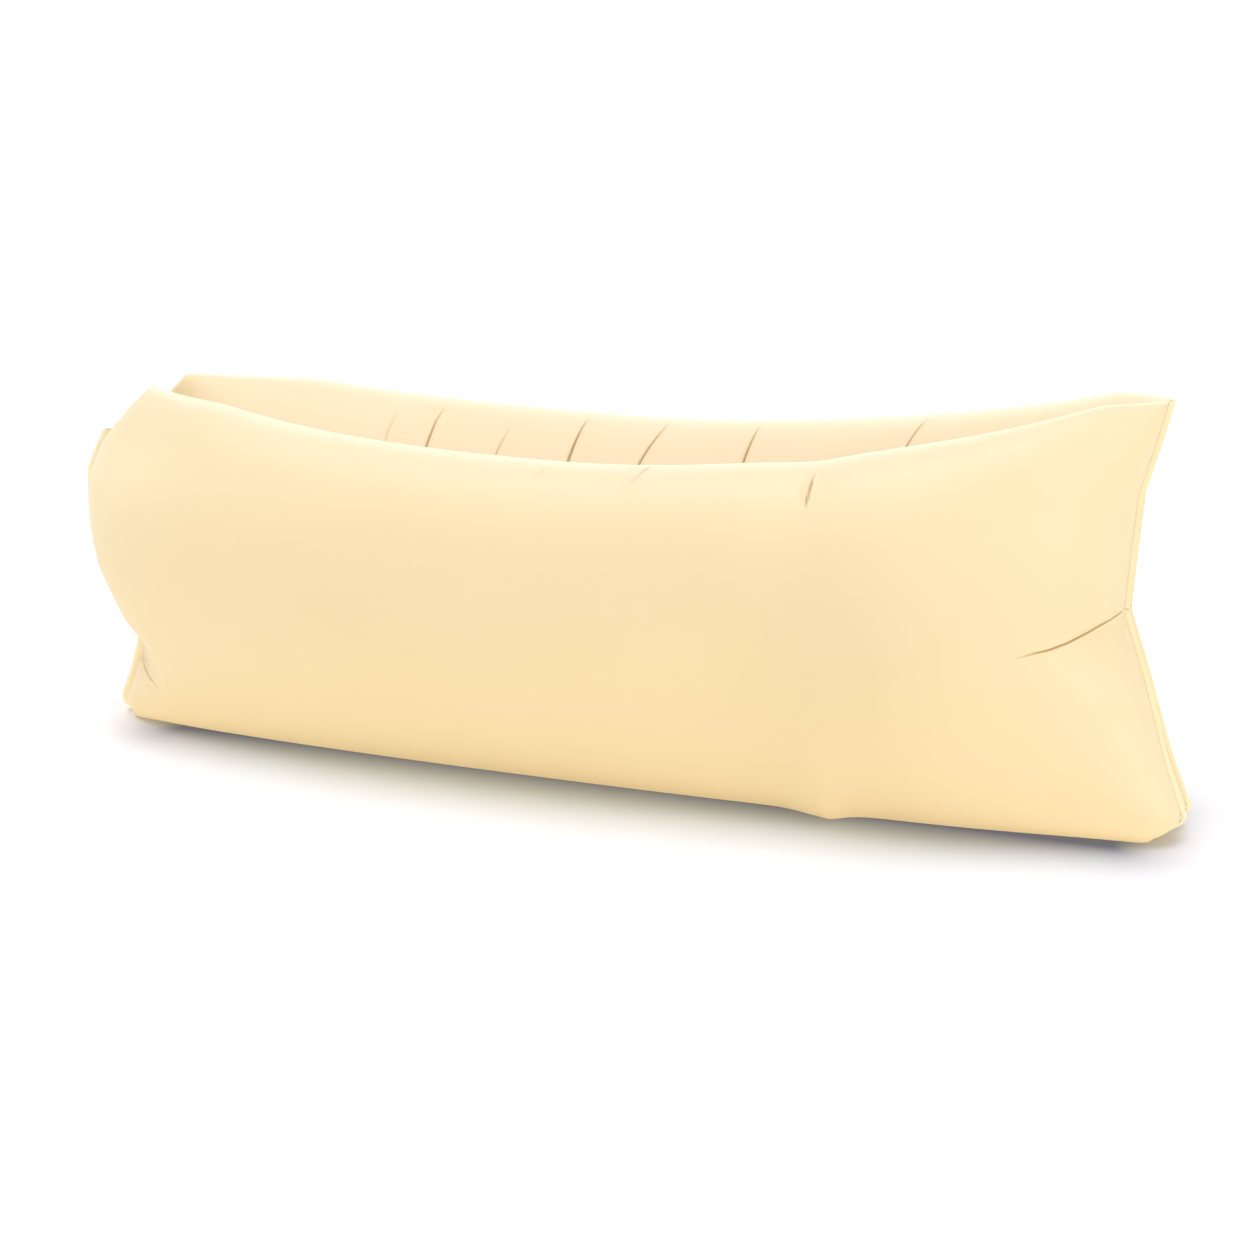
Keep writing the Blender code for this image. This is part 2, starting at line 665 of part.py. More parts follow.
def make_webbing(name, is_rear, material, collection):
    """Webbing: sewn flat to a leg of the roll, then round the buckle's bar and back."""
    x, y, z = buckle_place()
    side = 1.0 if is_rear else -1.0
    body = REST_GAP + PLUG_LENGTH if is_rear else SOCKET_LENGTH
    bar_inner = body + FRAME_LENGTH - BAR_LENGTH
    turn = bar_inner - REST_GAP - WEBBING_THICKNESS / 2.0
    tab = leg_inner_face() - REST_GAP - WEBBING_THICKNESS / 2.0 - side * y
    tail_start = body + FRAME_LENGTH + WEBBING_THICKNESS * 2.0
    tail_through = -WEBBING_OFFSET + WEBBING_THICKNESS + REST_GAP
    route = (
        (-WEBBING_OFFSET - WEBBING_TAB, tab), (-WEBBING_OFFSET, tab), (-WEBBING_OFFSET, turn),
        (WEBBING_OFFSET, turn), (WEBBING_OFFSET, tail_start),
        (tail_through, tail_start + WEBBING_OFFSET * 2.0), (tail_through, tail_start + WEBBING_TAIL),
    )
    radius = WEBBING_BEND_RADIUS / 2.0
    path = round_corners(route, radius)
    half = WEBBING_WIDTH / 2.0
    points = []
    for through, along in path:
        points.append((x + through, y + side * along, z - half))
        points.append((x + through, y + side * along, z + half))
    faces = [(2 * step, 2 * step + 1, 2 * step + 3, 2 * step + 2) for step in range(len(path) - 1)]
    webbing = add_object(name, mesh_from(name, points, faces), material, collection)
    weave = webbing.modifiers.new("thickness", "SOLIDIFY")
    weave.thickness = WEBBING_THICKNESS
    weave.offset = 0.0
    weave.use_even_offset = True
    return webbing


def build_lounger():
    clear_scene()
    parts = make_collection("air_lounger")
    cutters = make_collection("cutters")
    fabric = make_material("cover_fabric", (0.97, 0.83, 0.55), 0.55)
    film = make_material("liner_film", (0.85, 0.88, 0.90), 0.25)
    tape = make_material("seam_fabric", (0.93, 0.79, 0.52), 0.65)
    strip = make_material("batten_plastic", (0.90, 0.90, 0.88), 0.40)
    webbing = make_material("webbing", (0.90, 0.76, 0.50), 0.80)
    plastic = make_material("buckle_plastic", (0.88, 0.74, 0.48), 0.45)

    make_chamber("front_cover", False, COVER_WALL, 0.0, fabric, parts)
    make_chamber("rear_cover", True, COVER_WALL, 0.0, fabric, parts)
    liner_skip = COVER_WALL + REST_GAP
    make_chamber("front_air_liner", False, LINER_WALL, liner_skip, film, parts)
    make_chamber("rear_air_liner", True, LINER_WALL, liner_skip, film, parts)
    make_joining_tape("valley_seam", tape, parts)
    make_head_hem("head_hem_front", False, tape, parts)
    make_head_hem("head_hem_rear", True, tape, parts)
    make_mouth_roll("mouth_roll", tape, parts)
    make_batten("mouth_batten_outer", True, strip, parts)
    make_batten("mouth_batten_inner", False, strip, parts)
    make_socket("buckle_socket", plastic, parts, cutters)
    make_plug("buckle_plug", plastic, parts, cutters)
    make_prong("buckle_prong_upper", True, plastic, parts)
    make_prong("buckle_prong_lower", False, plastic, parts)
    make_webbing("strap_front", False, webbing, parts)
    make_webbing("strap_rear", True, webbing, parts)


build_lounger()
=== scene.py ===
import math

import bmesh
import bpy
import numpy as np
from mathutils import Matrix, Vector


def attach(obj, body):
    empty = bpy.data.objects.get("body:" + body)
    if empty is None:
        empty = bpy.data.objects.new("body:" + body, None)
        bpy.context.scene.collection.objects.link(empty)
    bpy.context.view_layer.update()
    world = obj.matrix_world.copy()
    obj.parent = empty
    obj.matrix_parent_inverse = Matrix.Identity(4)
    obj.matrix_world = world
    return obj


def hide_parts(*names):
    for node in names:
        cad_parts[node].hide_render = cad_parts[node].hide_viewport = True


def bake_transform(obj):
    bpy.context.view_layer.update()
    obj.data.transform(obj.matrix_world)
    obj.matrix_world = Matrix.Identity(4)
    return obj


# Inflatable air lounger: the looks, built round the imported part.
# +X is the high head end, -X the rolled mouth, -Y the front chamber, and the floor is at z 0.

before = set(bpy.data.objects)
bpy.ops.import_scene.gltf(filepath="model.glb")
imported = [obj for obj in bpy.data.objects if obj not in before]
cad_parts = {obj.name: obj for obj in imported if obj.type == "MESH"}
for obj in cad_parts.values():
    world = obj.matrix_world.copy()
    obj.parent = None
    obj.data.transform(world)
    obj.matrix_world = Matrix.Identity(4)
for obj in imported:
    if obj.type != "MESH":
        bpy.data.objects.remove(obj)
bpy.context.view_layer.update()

mm = 0.001


# numbers worked on whole arrays

def softStep(value, start, end):
    # 0 before start, 1 after end, and a cubic ease between them
    share = np.clip((value - start) / (end - start), 0.0, 1.0)
    return share * share * (3.0 - 2.0 * share)


def bell(value, middle, reach):
    # 1 at the middle, falling off as e to the minus square of the distance in reaches
    return np.exp(-((value - middle) / reach) ** 2)


def softMax(first, second, blend):
    # the larger of the two, rounded where they cross: (a + b + root of (a - b) squared + blend squared) / 2
    return (first + second + np.sqrt((first - second) ** 2 + blend ** 2)) / 2.0


def averaged(law, value, spread):
    # a law's value averaged over a short span round each place, so that no corner is left in it
    offsets = np.linspace(-1.0, 1.0, 11)[1:-1]
    weights = 1.0 - np.abs(offsets)
    total = sum(law(value + spread * offset) * weight for offset, weight in zip(offsets, weights))
    return total / weights.sum()


def readTable(table, value, spread):
    # straight lines between the rows of (place, value), rounded over the spread
    rows = np.array(table)
    return averaged(lambda place: np.interp(place, rows[:, 0], rows[:, 1]), value, spread)


def crowdedPlaces(low, high, count, base, crowds):
    # places whose spacing is 1 / density, where density is base plus a bell for each (middle, reach, extra)
    fine = np.linspace(low, high, 20001)
    density = base(fine)
    for middle, reach, extra in crowds:
        density = density + extra * bell(fine, middle, reach)
    total = np.concatenate(([0.0], np.cumsum((density[1:] + density[:-1]) / 2.0)))
    return np.interp(np.linspace(0.0, total[-1], count), total, fine)


def joined(*columns):
    return np.stack(columns, axis=-1)


def unit(vectors):
    return vectors / np.maximum(np.linalg.norm(vectors, axis=-1, keepdims=True), 1e-12)


def runLengths(line):
    # length from the first point of a line to each of its points
    return np.concatenate(([0.0], np.cumsum(np.linalg.norm(np.diff(line, axis=0), axis=-1))))


def readLine(places, steps, line):
    # the points of a line at the given lengths along it
    return np.stack([np.interp(places, steps, column) for column in line.T], axis=-1)


def sameAxis(line, *axis):
    # one direction for every point of a line
    return np.broadcast_to(np.array(axis), line.shape)


# meshes from grids

def addObject(name, data):
    made = bpy.data.objects.new(name, data)
    bpy.context.scene.collection.objects.link(made)
    return made


def addPiece(name, points, faces, corners=None, smoothLimit=None):
    # points (n, 3), faces as lists of indexes, corners the UV of each face corner in face order
    mesh = bpy.data.meshes.new(name)
    mesh.from_pydata(np.asarray(points, float).tolist(), [], [list(face) for face in faces])
    if corners is not None:
        layer = mesh.uv_layers.new(name="clothMap")
        layer.data.foreach_set("uv", np.asarray(corners, np.float32).ravel())
    mesh.shade_smooth()
    if smoothLimit is not None:
        mesh.set_sharp_from_angle(angle=math.radians(smoothLimit))
    mesh.update()
    return addObject(name, mesh)


def tubeFaces(rings, around):
    # quads of a grid that is closed around, as (rings - 1) * around rows of four indexes
    ring, step = np.meshgrid(np.arange(rings - 1), np.arange(around), indexing="ij")
    here = ring * around + step
    beside = ring * around + (step + 1) % around
    return joined(here, beside, beside + around, here + around).reshape(-1, 4)


def tubeCorners(*lengths):
    # UV of each quad corner, from the two grids of (rings, around + 1) lengths in metres
    both = [joined(grid[:-1, :-1], grid[:-1, 1:], grid[1:, 1:], grid[1:, :-1]) for grid in lengths]
    return joined(*both).reshape(-1, 2)


def gridLengths(points):
    # running length along and around a closed grid of points (rings, around, 3)
    closed = np.concatenate([points, points[:, :1]], axis=1)
    along = np.zeros(closed.shape[:2])
    along[1:] = np.cumsum(np.linalg.norm(np.diff(closed, axis=0), axis=-1), axis=0)
    along -= along[len(along) // 2]
    across = np.zeros(closed.shape[:2])
    across[:, 1:] = np.cumsum(np.linalg.norm(np.diff(closed, axis=1), axis=-1), axis=1)
    return along, across


def gridNormals(points, outwardSign):
    # unit normals of a grid closed around: lengthwise slope crossed with the slope round the ring
    lengthwise = np.gradient(points, axis=0)
    wrapped = np.concatenate([points[:, -1:], points, points[:, :1]], axis=1)
    around = (wrapped[:, 2:] - wrapped[:, :-2]) / 2.0
    return unit(np.cross(lengthwise, around)) * outwardSign


def carriedProfile(name, path, depthAxis, widthAxis, profile, smoothLimit=60.0):
    # each ring = path point + depth axis * profile depth + width axis * profile width, capped at both ends
    # profile is (around, 2), or (stations, around, 2) where it changes on the way
    profile = np.broadcast_to(profile, (len(path),) + np.shape(profile)[-2:])
    rings = (path[:, None] + depthAxis[:, None] * profile[:, :, :1] + widthAxis[:, None] * profile[:, :, 1:])
    stations, around = rings.shape[:2]
    faces = tubeFaces(stations, around)
    corners = tubeCorners(*gridLengths(rings))
    last = (stations - 1) * around
    caps = [list(range(around))[::-1], list(range(last, last + around))]
    corners = np.concatenate([corners, np.zeros((2 * around, 2))])
    piece = addPiece(name, rings.reshape(-1, 3), faces.tolist() + caps, corners, smoothLimit)
    turnOutwards(piece)
    return piece


def turnOutwards(piece):
    work = bmesh.new()
    work.from_mesh(piece.data)
    bmesh.ops.recalc_face_normals(work, faces=work.faces)
    work.to_mesh(piece.data)
    work.free()


def flattened(wave, power):
    return np.sign(wave) * np.abs(wave) ** power


def roundedProfile(depthHalf, widthHalf, power, count):
    # superellipse: each axis is its half size times the sine or cosine to the power 2 / power
    turn = np.arange(count) * 2.0 * math.pi / count
    share = 2.0 / power
    depth = depthHalf * flattened(np.cos(turn), share)
    width = widthHalf * flattened(np.sin(turn), share)
    return joined(depth, width)


# materials

class Wire:
    # one output socket; arithmetic on it adds Math nodes

    def __init__(self, finish, output):
        self.finish = finish
        self.output = output

    def maths(self, operation, other=0.0, swapped=False):
        first, second = (other, self) if swapped else (self, other)
        return self.finish.node("ShaderNodeMath", {"operation": operation}, {0: first, 1: second})

    def sibling(self, index):
        return Wire(self.finish, self.output.node.outputs[index])

    def __add__(self, other):
        return self.maths("ADD", other)

    def __radd__(self, other):
        return self.maths("ADD", other, True)

    def __sub__(self, other):
        return self.maths("SUBTRACT", other)

    def __rsub__(self, other):
        return self.maths("SUBTRACT", other, True)

    def __mul__(self, other):
        return self.maths("MULTIPLY", other)

    def __rmul__(self, other):
        return self.maths("MULTIPLY", other, True)


class Finish:
    # a new material, or a node tree that is given; node() adds any node and hands back the output asked for

    def __init__(self, name, tree=None):
        if tree is None:
            self.material = bpy.data.materials.new(name)
            self.material.use_nodes = True
            tree = self.material.node_tree
            self.shader = tree.nodes["Principled BSDF"]
        self.tree = tree

    def node(self, kind, settings=None, sockets=None, output=0):
        made = self.tree.nodes.new(kind)
        for key, value in (settings or {}).items():
            setattr(made, key, value)
        for key, value in (sockets or {}).items():
            self.feed(made.inputs[key], value)
        return Wire(self, made.outputs[output])

    def feed(self, socket, value):
        if isinstance(value, Wire):
            self.tree.links.new(value.output, socket)
        else:
            socket.default_value = value

    def surface(self, **values):
        for key, value in values.items():
            self.feed(self.shader.inputs[key.replace("_", " ")], value)
        return self.material


def mixColours(finish, share, first, second):
    # each colour is three numbers or a wire
    both = [colour if isinstance(colour, Wire) else (*colour, 1.0) for colour in (first, second)]
    return finish.node("ShaderNodeMix", {"data_type": "RGBA"}, {"Factor": share, 6: both[0], 7: both[1]}, 2)


# pale and deep are the cloth's own tones, mixed at random; the fold colour is painted shade, mixed into the
# base colour along the cores of creases and pinches
clothLooks = {
    "pale": (0.836, 0.692, 0.432), "deep": (0.812, 0.650, 0.372), "fold": (0.576, 0.387, 0.155),
    "foldShare": 0.55,
    "threadsPerMetre": 1700.0, "weaveDepth": 0.00004, "weaveStrength": 0.5,
    "wrinkleScale": 7.0, "creaseDepth": 0.0009, "creaseStrength": 0.6,
    "cloudScale": 2.6, "cloudShare": 0.7, "fineScale": 900.0, "fineShare": 0.3,
    "roughness": 0.46, "roughRange": 0.10, "sheen": 0.25, "sheenRoughness": 0.50,
    "tint": (1.0, 0.97, 0.90, 1.0),
}

# the hems and the roll are edge on and get less light than the chambers, so their cloth is paler
paleLooks = {"pale": (0.925, 0.785, 0.520), "deep": (0.905, 0.755, 0.470)}
rollLooks = {"creaseDepth": 0.0016, "wrinkleScale": 45.0}

filmLooks = {
    "colour": (0.82, 0.85, 0.88, 1.0), "alpha": 0.6, "scale": 40.0, "bumpDepth": 0.0006, "strength": 0.7,
    "roughness": 0.15, "roughRange": 0.15,
}
bindingLooks = {
    "threadShare": 0.5, "bumpDepth": 0.00008, "strength": 0.8, "cloudScale": 60.0, "darkest": 0.90,
    "roughness": 0.55, "roughRange": 0.1, "sheen": 0.3, "sheenRoughness": 0.5,
}
plasticLooks = {
    "bumpDepth": 0.00005, "strength": 0.5, "cloudScale": 90.0, "darkest": 0.93, "roughRange": 0.12,
}


def noise(finish, place, scale, detail, roughness=0.5):
    sockets = {"Vector": place, "Scale": scale, "Detail": detail, "Roughness": roughness}
    return finish.node("ShaderNodeTexNoise", {}, sockets)


def bump(finish, height, distance, strength, **more):
    sockets = {"Height": height, "Distance": distance, "Strength": strength, **more}
    return finish.node("ShaderNodeBump", {}, sockets)


def wovenBump(finish, threads, threadShare=1.0):
    # plain weave: the height is a sine across the cloth times a sine along it
    place = finish.node("ShaderNodeUVMap", {"uv_map": "clothMap"})
    across = finish.node("ShaderNodeSeparateXYZ", {}, {0: place})
    along = across.sibling(1)
    turns = 2.0 * math.pi * threads
    first = (across * turns).maths("SINE")
    second = (along * (turns * threadShare)).maths("SINE")
    return first * second, place


def makeCoverCloth(name, looks):
    finish = Finish(name)
    weave, place = wovenBump(finish, looks["threadsPerMetre"])
    spot = finish.node("ShaderNodeTexCoord", output="Object")
    cloud = noise(finish, spot, looks["cloudScale"], 3.0, 0.55)
    fine = noise(finish, place, looks["fineScale"], 2.0)
    shade = cloud * looks["cloudShare"] + fine * looks["fineShare"]
    plain = mixColours(finish, shade, looks["pale"], looks["deep"])
    # painted shade: the dark fold colour goes in where the foldShade attribute marks a fold's core
    fold = finish.node("ShaderNodeAttribute", {"attribute_name": "foldShade"}, output=2)
    colour = mixColours(finish, fold * looks["foldShare"], plain, looks["fold"])
    ripple = noise(finish, spot, looks["wrinkleScale"], 4.0)
    soft = bump(finish, ripple, looks["creaseDepth"], looks["creaseStrength"])
    threads = bump(finish, weave, looks["weaveDepth"], looks["weaveStrength"], Normal=soft)
    rough = fine * looks["roughRange"] + (looks["roughness"] - looks["roughRange"] / 2.0)
    return finish.surface(
        Base_Color=colour, Roughness=rough, Normal=threads, Sheen_Weight=looks["sheen"],
        Sheen_Roughness=looks["sheenRoughness"], Sheen_Tint=looks["tint"])


def darkened(finish, share, colour, looks):
    # from the colour to the colour times the darkest share
    return mixColours(finish, share, colour, tuple(value * looks["darkest"] for value in colour))


def makeFilm(name):
    finish = Finish(name)
    spot = finish.node("ShaderNodeTexCoord", output="Object")
    crinkle = noise(finish, spot, filmLooks["scale"], 5.0)
    raised = bump(finish, crinkle, filmLooks["bumpDepth"], filmLooks["strength"])
    return finish.surface(
        Base_Color=filmLooks["colour"], Roughness=crinkle * filmLooks["roughRange"] + filmLooks["roughness"],
        Normal=raised, Alpha=filmLooks["alpha"])


def makeBinding(name, ribs, colour):
    finish = Finish(name)
    weave, place = wovenBump(finish, ribs, bindingLooks["threadShare"])
    cloud = noise(finish, place, bindingLooks["cloudScale"], 3.0)
    shaded = darkened(finish, cloud, colour, bindingLooks)
    raised = bump(finish, weave, bindingLooks["bumpDepth"], bindingLooks["strength"])
    rough = cloud * bindingLooks["roughRange"] + bindingLooks["roughness"]
    return finish.surface(
        Base_Color=shaded, Roughness=rough, Normal=raised,
        Sheen_Weight=bindingLooks["sheen"], Sheen_Roughness=bindingLooks["sheenRoughness"])


def makePlastic(name, colour, roughness, grain):
    finish = Finish(name)
    spot = finish.node("ShaderNodeTexCoord", output="Object")
    speck = noise(finish, spot, grain, 3.0)
    cloud = noise(finish, spot, plasticLooks["cloudScale"], 2.0)
    shaded = darkened(finish, cloud, colour, plasticLooks)
    raised = bump(finish, speck, plasticLooks["bumpDepth"], plasticLooks["strength"])
    rough = speck * plasticLooks["roughRange"] + (roughness - plasticLooks["roughRange"] / 2.0)
    return finish.surface(Base_Color=shaded, Roughness=rough, Normal=raised)


coverCloth = makeCoverCloth("cover_cloth", clothLooks)
hemCloth = makeCoverCloth("hem_cloth", {**clothLooks, **paleLooks})
rollCloth = makeCoverCloth("roll_cloth", {**clothLooks, **paleLooks, **rollLooks})
filmFinish = makeFilm("liner_film_clear")
bindingFinish = makeBinding("binding_tape", 900.0, (0.86, 0.71, 0.44))
webbingFinish = makeBinding("webbing_weave", 500.0, (0.78, 0.60, 0.33))
threadFinish = makeBinding("sewing_thread", 2500.0, (0.86, 0.73, 0.49))
buckleFinish = makePlastic("buckle_acetal", (0.77, 0.59, 0.32), 0.42, 1800.0)
battenFinish = makePlastic("batten_strip", (0.85, 0.85, 0.82), 0.38, 900.0)
print("materials made")


def dress(piece, material, body, slot, *nodes):
    piece.data.materials.clear()
    piece.data.materials.append(material)
    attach(piece, body)
    if nodes:
        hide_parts(*nodes)
    return piece


# the two air chambers

chamber = {
    "halfLength": 1.975 / 2.0, "headHeight": 0.706, "mouthHeight": 0.620, "waistHeight": 0.586,
    "rearDrop": 0.022, "swell": 0.172, "offset": 0.148, "lean": 0.310,
    "endHalf": 4.5 * mm, "hemDepth": 7.0 * mm, "restGap": 0.3 * mm,
    "mouthReach": 1.975 / 2.0 - 24.5 * mm, "contact": 1.5 * mm, "contactBlend": 5.0 * mm,
    "kinkPlace": 0.415, "kinkDepth": 0.014, "kinkReach": 0.060, "kinkRise": 4,
    "ridgePlace": 0.600, "ridge": 0.026, "ridgeReach": 0.160, "ridgeHeight": 0.330, "ridgeSpread": 0.450,
    "dentPlace": 0.350, "dent": 0.024, "dentReach": 0.130, "dentTail": 0.240,
    "dentHeight": 0.280, "dentSpread": 0.165,
    "lobe": 0.042, "lobeReach": 0.050, "lobeHeight": 0.060, "rimDip": 0.006,
    "tuckPlace": 0.431, "tuck": 0.020, "tuckReach": 0.017, "tuckHeight": 0.030,
    "foldShare": 0.45, "foldHeight": 0.07, "foldStart": 0.86, "headFold": 0.50, "mouthFold": 0.237,
    "floorAngle": 75.0, "floorBlend": 0.016, "columns": 520, "halfRing": 94,
    "rimSpan": 0.035, "tableSpan": 0.03, "meanReach": 0.978, "creaseSpan": 5.0, "pinchSpan": 0.004,
    "headOutline": (
        (0.000, 0.948), (0.055, 1.000), (0.190, 0.962), (0.370, 0.922), (0.521, 0.884),
        (0.667, 0.890), (0.790, 0.896), (0.900, 0.917), (1.000, 0.934)),
    "headOffsets": ((0.0, 0.030), (0.30, 0.013), (1.0, 0.013)),
    "mouthOutline": (
        (0.000, 0.950), (0.050, 0.963), (0.132, 0.940), (0.237, 0.917), (0.360, 0.953),
        (0.490, 0.990), (0.610, 1.000), (0.745, 0.996), (0.850, 0.963), (0.932, 0.911), (1.000, 0.865)),
    "mouthLegs": ((0.0, 0.035), (0.30, 0.035), (0.60, 0.050), (0.86, 0.050), (0.93, 0.060), (1.0, 0.060)),
}

film = {"columns": 130, "halfRing": 44, "inset": 9.0 * mm}

# Creases that run round a chamber. Each has rows of (ring angle in degrees, metres along the chamber),
# the angles at which it starts, is full, starts to fade and ends, its depth and its core's half width.
# The ring angle is 0 at the outer side, 90 at the rim and 180 at the inner side.
rearCreases = (
    (((96, -0.381), (112, -0.386), (127, -0.384), (168, -0.378)), (96, 124, 140, 168), 6.0 * mm, 1.4 * mm),
    (((104, -0.250), (116, -0.251), (127, -0.255), (160, -0.258)), (106, 126, 134, 158), 3.0 * mm, 1.7 * mm),
    (((88, -0.117), (108, -0.1215), (128, -0.122), (172, -0.120)), (94, 122, 146, 172), 8.0 * mm, 1.4 * mm),
    (((83, 0.032), (106, 0.024), (125, 0.007), (165, -0.012)), (92, 120, 138, 165), 6.5 * mm, 1.4 * mm),
    (((85, 0.199), (107, 0.1935), (123, 0.1915), (172, 0.188)), (94, 120, 146, 172), 8.0 * mm, 1.4 * mm),
    (((86, 0.507), (105, 0.4855), (119, 0.472), (165, 0.448)), (94, 114, 138, 165), 8.0 * mm, 1.4 * mm),
    (((98, -0.462), (126, -0.4615), (160, -0.458)), (104, 122, 132, 158), 2.2 * mm, 2.0 * mm),
)
frontCreases = (
    (((96, -0.436), (165, -0.444)), (96, 118, 142, 165), 5.0 * mm, 1.8 * mm),
    (((94, -0.188), (170, -0.192)), (94, 116, 148, 170), 7.5 * mm, 1.6 * mm),
    (((94, 0.073), (170, 0.077)), (94, 116, 148, 170), 6.5 * mm, 1.6 * mm),
    (((96, 0.286), (165, 0.294)), (96, 118, 142, 165), 6.0 * mm, 1.7 * mm),
    (((98, 0.555), (155, 0.565)), (98, 118, 134, 155), 4.5 * mm, 2.0 * mm),
    (((57, 0.4215), (65, 0.4245), (74, 0.4235)), (55, 60, 67, 76), 7.5 * mm, 1.4 * mm),
    (((57, 0.4180), (64, 0.4085), (73, 0.4145)), (56, 62, 67, 74), 1.5 * mm, 2.4 * mm),
    (((60, 0.122), (78, 0.1480), (93, 0.158)), (62, 76, 86, 95), 2.6 * mm, 2.6 * mm),
    (((63, -0.041), (75, -0.0161), (90, 0.000)), (63, 73, 80, 92), 1.5 * mm, 3.2 * mm),
    (((78, 0.126), (90, 0.135)), (76, 82, 86, 92), 1.2 * mm, 2.6 * mm),
)

# The pinches that run inwards from the folds of the ends: rows of (metres along, height)
headPinch = (
    (0.7425, 0.3412), (0.7607, 0.3462), (0.7791, 0.3484), (0.8043, 0.3521), (0.8292, 0.3600),
    (0.8407, 0.3645), (0.8533, 0.3685), (0.8637, 0.3730))
mouthPinch = ((-0.886, 0.133), (-0.866, 0.120), (-0.8415, 0.1113), (-0.8104, 0.0963), (-0.795, 0.088))
mouthWrinkle = ((-0.886, 0.120), (-0.858, 0.1281), (-0.8325, 0.1327), (-0.820, 0.134))
# ring angles of the two pinches, before the grid is bent
pinchTurns = (math.radians(2.0), math.radians(-37.0))


def endTable(name, level):
    return readTable(chamber[name], level, chamber["tableSpan"])


def nearPlace(x, name):
    return bell(x, chamber[name + "Place"], chamber[name + "Reach"])


def rimHeight(along, isRear):
    # low at the waist, rising as a power of the place to both ends
    toHead = np.clip(along / 0.88, 0.0, 1.0) ** 1.7
    toMouth = np.clip(-along / 0.70, 0.0, 1.0) ** 2.3
    height = chamber["waistHeight"] + (chamber["headHeight"] - chamber["waistHeight"]) * toHead
    height = height + (chamber["mouthHeight"] - chamber["waistHeight"]) * toMouth
    if isRear:
        return height - chamber["rearDrop"] * (1.0 - np.minimum(np.abs(along), 1.0) ** 4)
    return height - chamber["rimDip"] * nearPlace(along * chamber["halfLength"], "kink")


def heightAt(along, isRear):
    return averaged(lambda place: rimHeight(place, isRear), along, chamber["rimSpan"])


def lowestSine():
    # the sine of the ring angle below which the chamber rests on the floor
    return math.sin(-math.radians(chamber["floorAngle"]))


def levelTurn(level):
    # the ring angle on the outer side at a share of the height
    return np.arcsin(np.clip(level * (1.0 - lowestSine()) + lowestSine(), -1.0, 1.0))


def ringLevel(turn):
    # share of the height: the sine of the ring angle, flat where the chamber rests on the floor
    lowest = lowestSine()
    raw = (np.sin(turn) - lowest) / (1.0 - lowest)
    blend = chamber["floorBlend"]
    level = softMax(raw, 0.0, blend)
    bottom = softMax((-1.0 - lowest) / (1.0 - lowest), 0.0, blend)
    top = softMax(1.0, 0.0, blend)
    return (level - bottom) / (top - bottom)


def chamberSurface(isRear, along, turn):
    # an oval ring at each place: it leans outwards, lies flat on the floor and on its neighbour,
    # and is drawn to a thin upright line at both ends
    side = 1.0 if isRear else -1.0
    level = ringLevel(turn)
    distance = np.minimum(np.abs(along), 1.0)
    height = heightAt(along, isRear)
    z = level * height
    straightHead, headReach = endReach(level, True)
    straightMouth, mouthReach = endReach(level, False)
    reach = np.where(along > 0.0, headReach, mouthReach)
    straight = np.where(along > 0.0, straightHead, straightMouth)
    x = np.sign(along) * (straight * distance + (reach - straight) * distance ** 4)

    legs = endTable("mouthLegs", level)
    endOffset = np.where(along > 0.0, endTable("headOffsets", level), legs)
    drawn = distance ** 2.5
    middle = chamber["offset"] + (endOffset - chamber["offset"]) * drawn
    swell = chamber["swell"] * np.sqrt(1.0 - distance ** 6)
    pinch = endFold(level, along, chamber["headFold"]) + endFold(level, -along, chamber["mouthFold"])
    thick = swell * (1.0 - pinch) + chamber["endHalf"]
    power = 1.0 - 0.65 * distance ** 24
    across = np.cos(turn) + 0.0 * along
    bulge = np.sign(across) * np.maximum(np.abs(across), 1e-9) ** power
    y = middle + thick * bulge + chamber["lean"] * (1.0 - drawn) * (z - height / 2.0)
    if not isRear:
        outer = softMax(across, 0.0, 0.05)
        nearKink = nearPlace(x, "kink") * level ** chamber["kinkRise"]
        nearRidge = nearPlace(x, "ridge") * bell(z, chamber["ridgeHeight"], chamber["ridgeSpread"])
        nearLobe = bell(x, chamber["kinkPlace"], chamber["lobeReach"]) * np.exp(-z / chamber["lobeHeight"])
        dentReach = np.where(x < chamber["dentPlace"], chamber["dentTail"], chamber["dentReach"])
        nearDent = (bell(x, chamber["dentPlace"], dentReach)
                    * bell(z, chamber["dentHeight"], chamber["dentSpread"]))
        sunk = chamber["dent"] * nearDent + chamber["kinkDepth"] * nearKink
        y = y + (chamber["ridge"] * nearRidge - sunk) * outer
        nearTuck = nearPlace(x, "tuck") * np.exp(-z / chamber["tuckHeight"])
        y = y + (chamber["lobe"] * nearLobe + chamber["tuck"] * nearTuck) * np.sqrt(outer)
    y = side * softMax(y, chamber["contact"], chamber["contactBlend"] * (1.0 - drawn))
    return np.stack(np.broadcast_arrays(x, y, z), axis=-1)


def endFold(level, along, foldShare):
    # pinch of the thickness by the fold at an end, strongest at the very end
    inward = np.clip((along - chamber["foldStart"]) / (1.0 - chamber["foldStart"]), 0.0, 1.0)
    return chamber["foldShare"] * bell(level, foldShare, chamber["foldHeight"]) * inward


def endReach(level, isHead):
    # how far an end stands from the middle: at the foot's height share, and at the given one
    if isHead:
        cut = chamber["hemDepth"] + chamber["restGap"]
        outline = readTable(chamber["headOutline"], level, 0.02)
        return chamber["halfLength"] - cut, chamber["halfLength"] * outline - cut
    return chamber["mouthReach"], chamber["mouthReach"] * endTable("mouthOutline", level)


def alongAt(x, level, isHead):
    # the share along the chamber that lands on x, from x = straight d + (reach - straight) d to the 4th
    straight, reach = endReach(level, isHead)
    share = np.abs(x) / straight
    for _ in range(6):
        share = (np.abs(x) - (reach - straight) * share ** 4) / straight
    return np.sign(x) * share


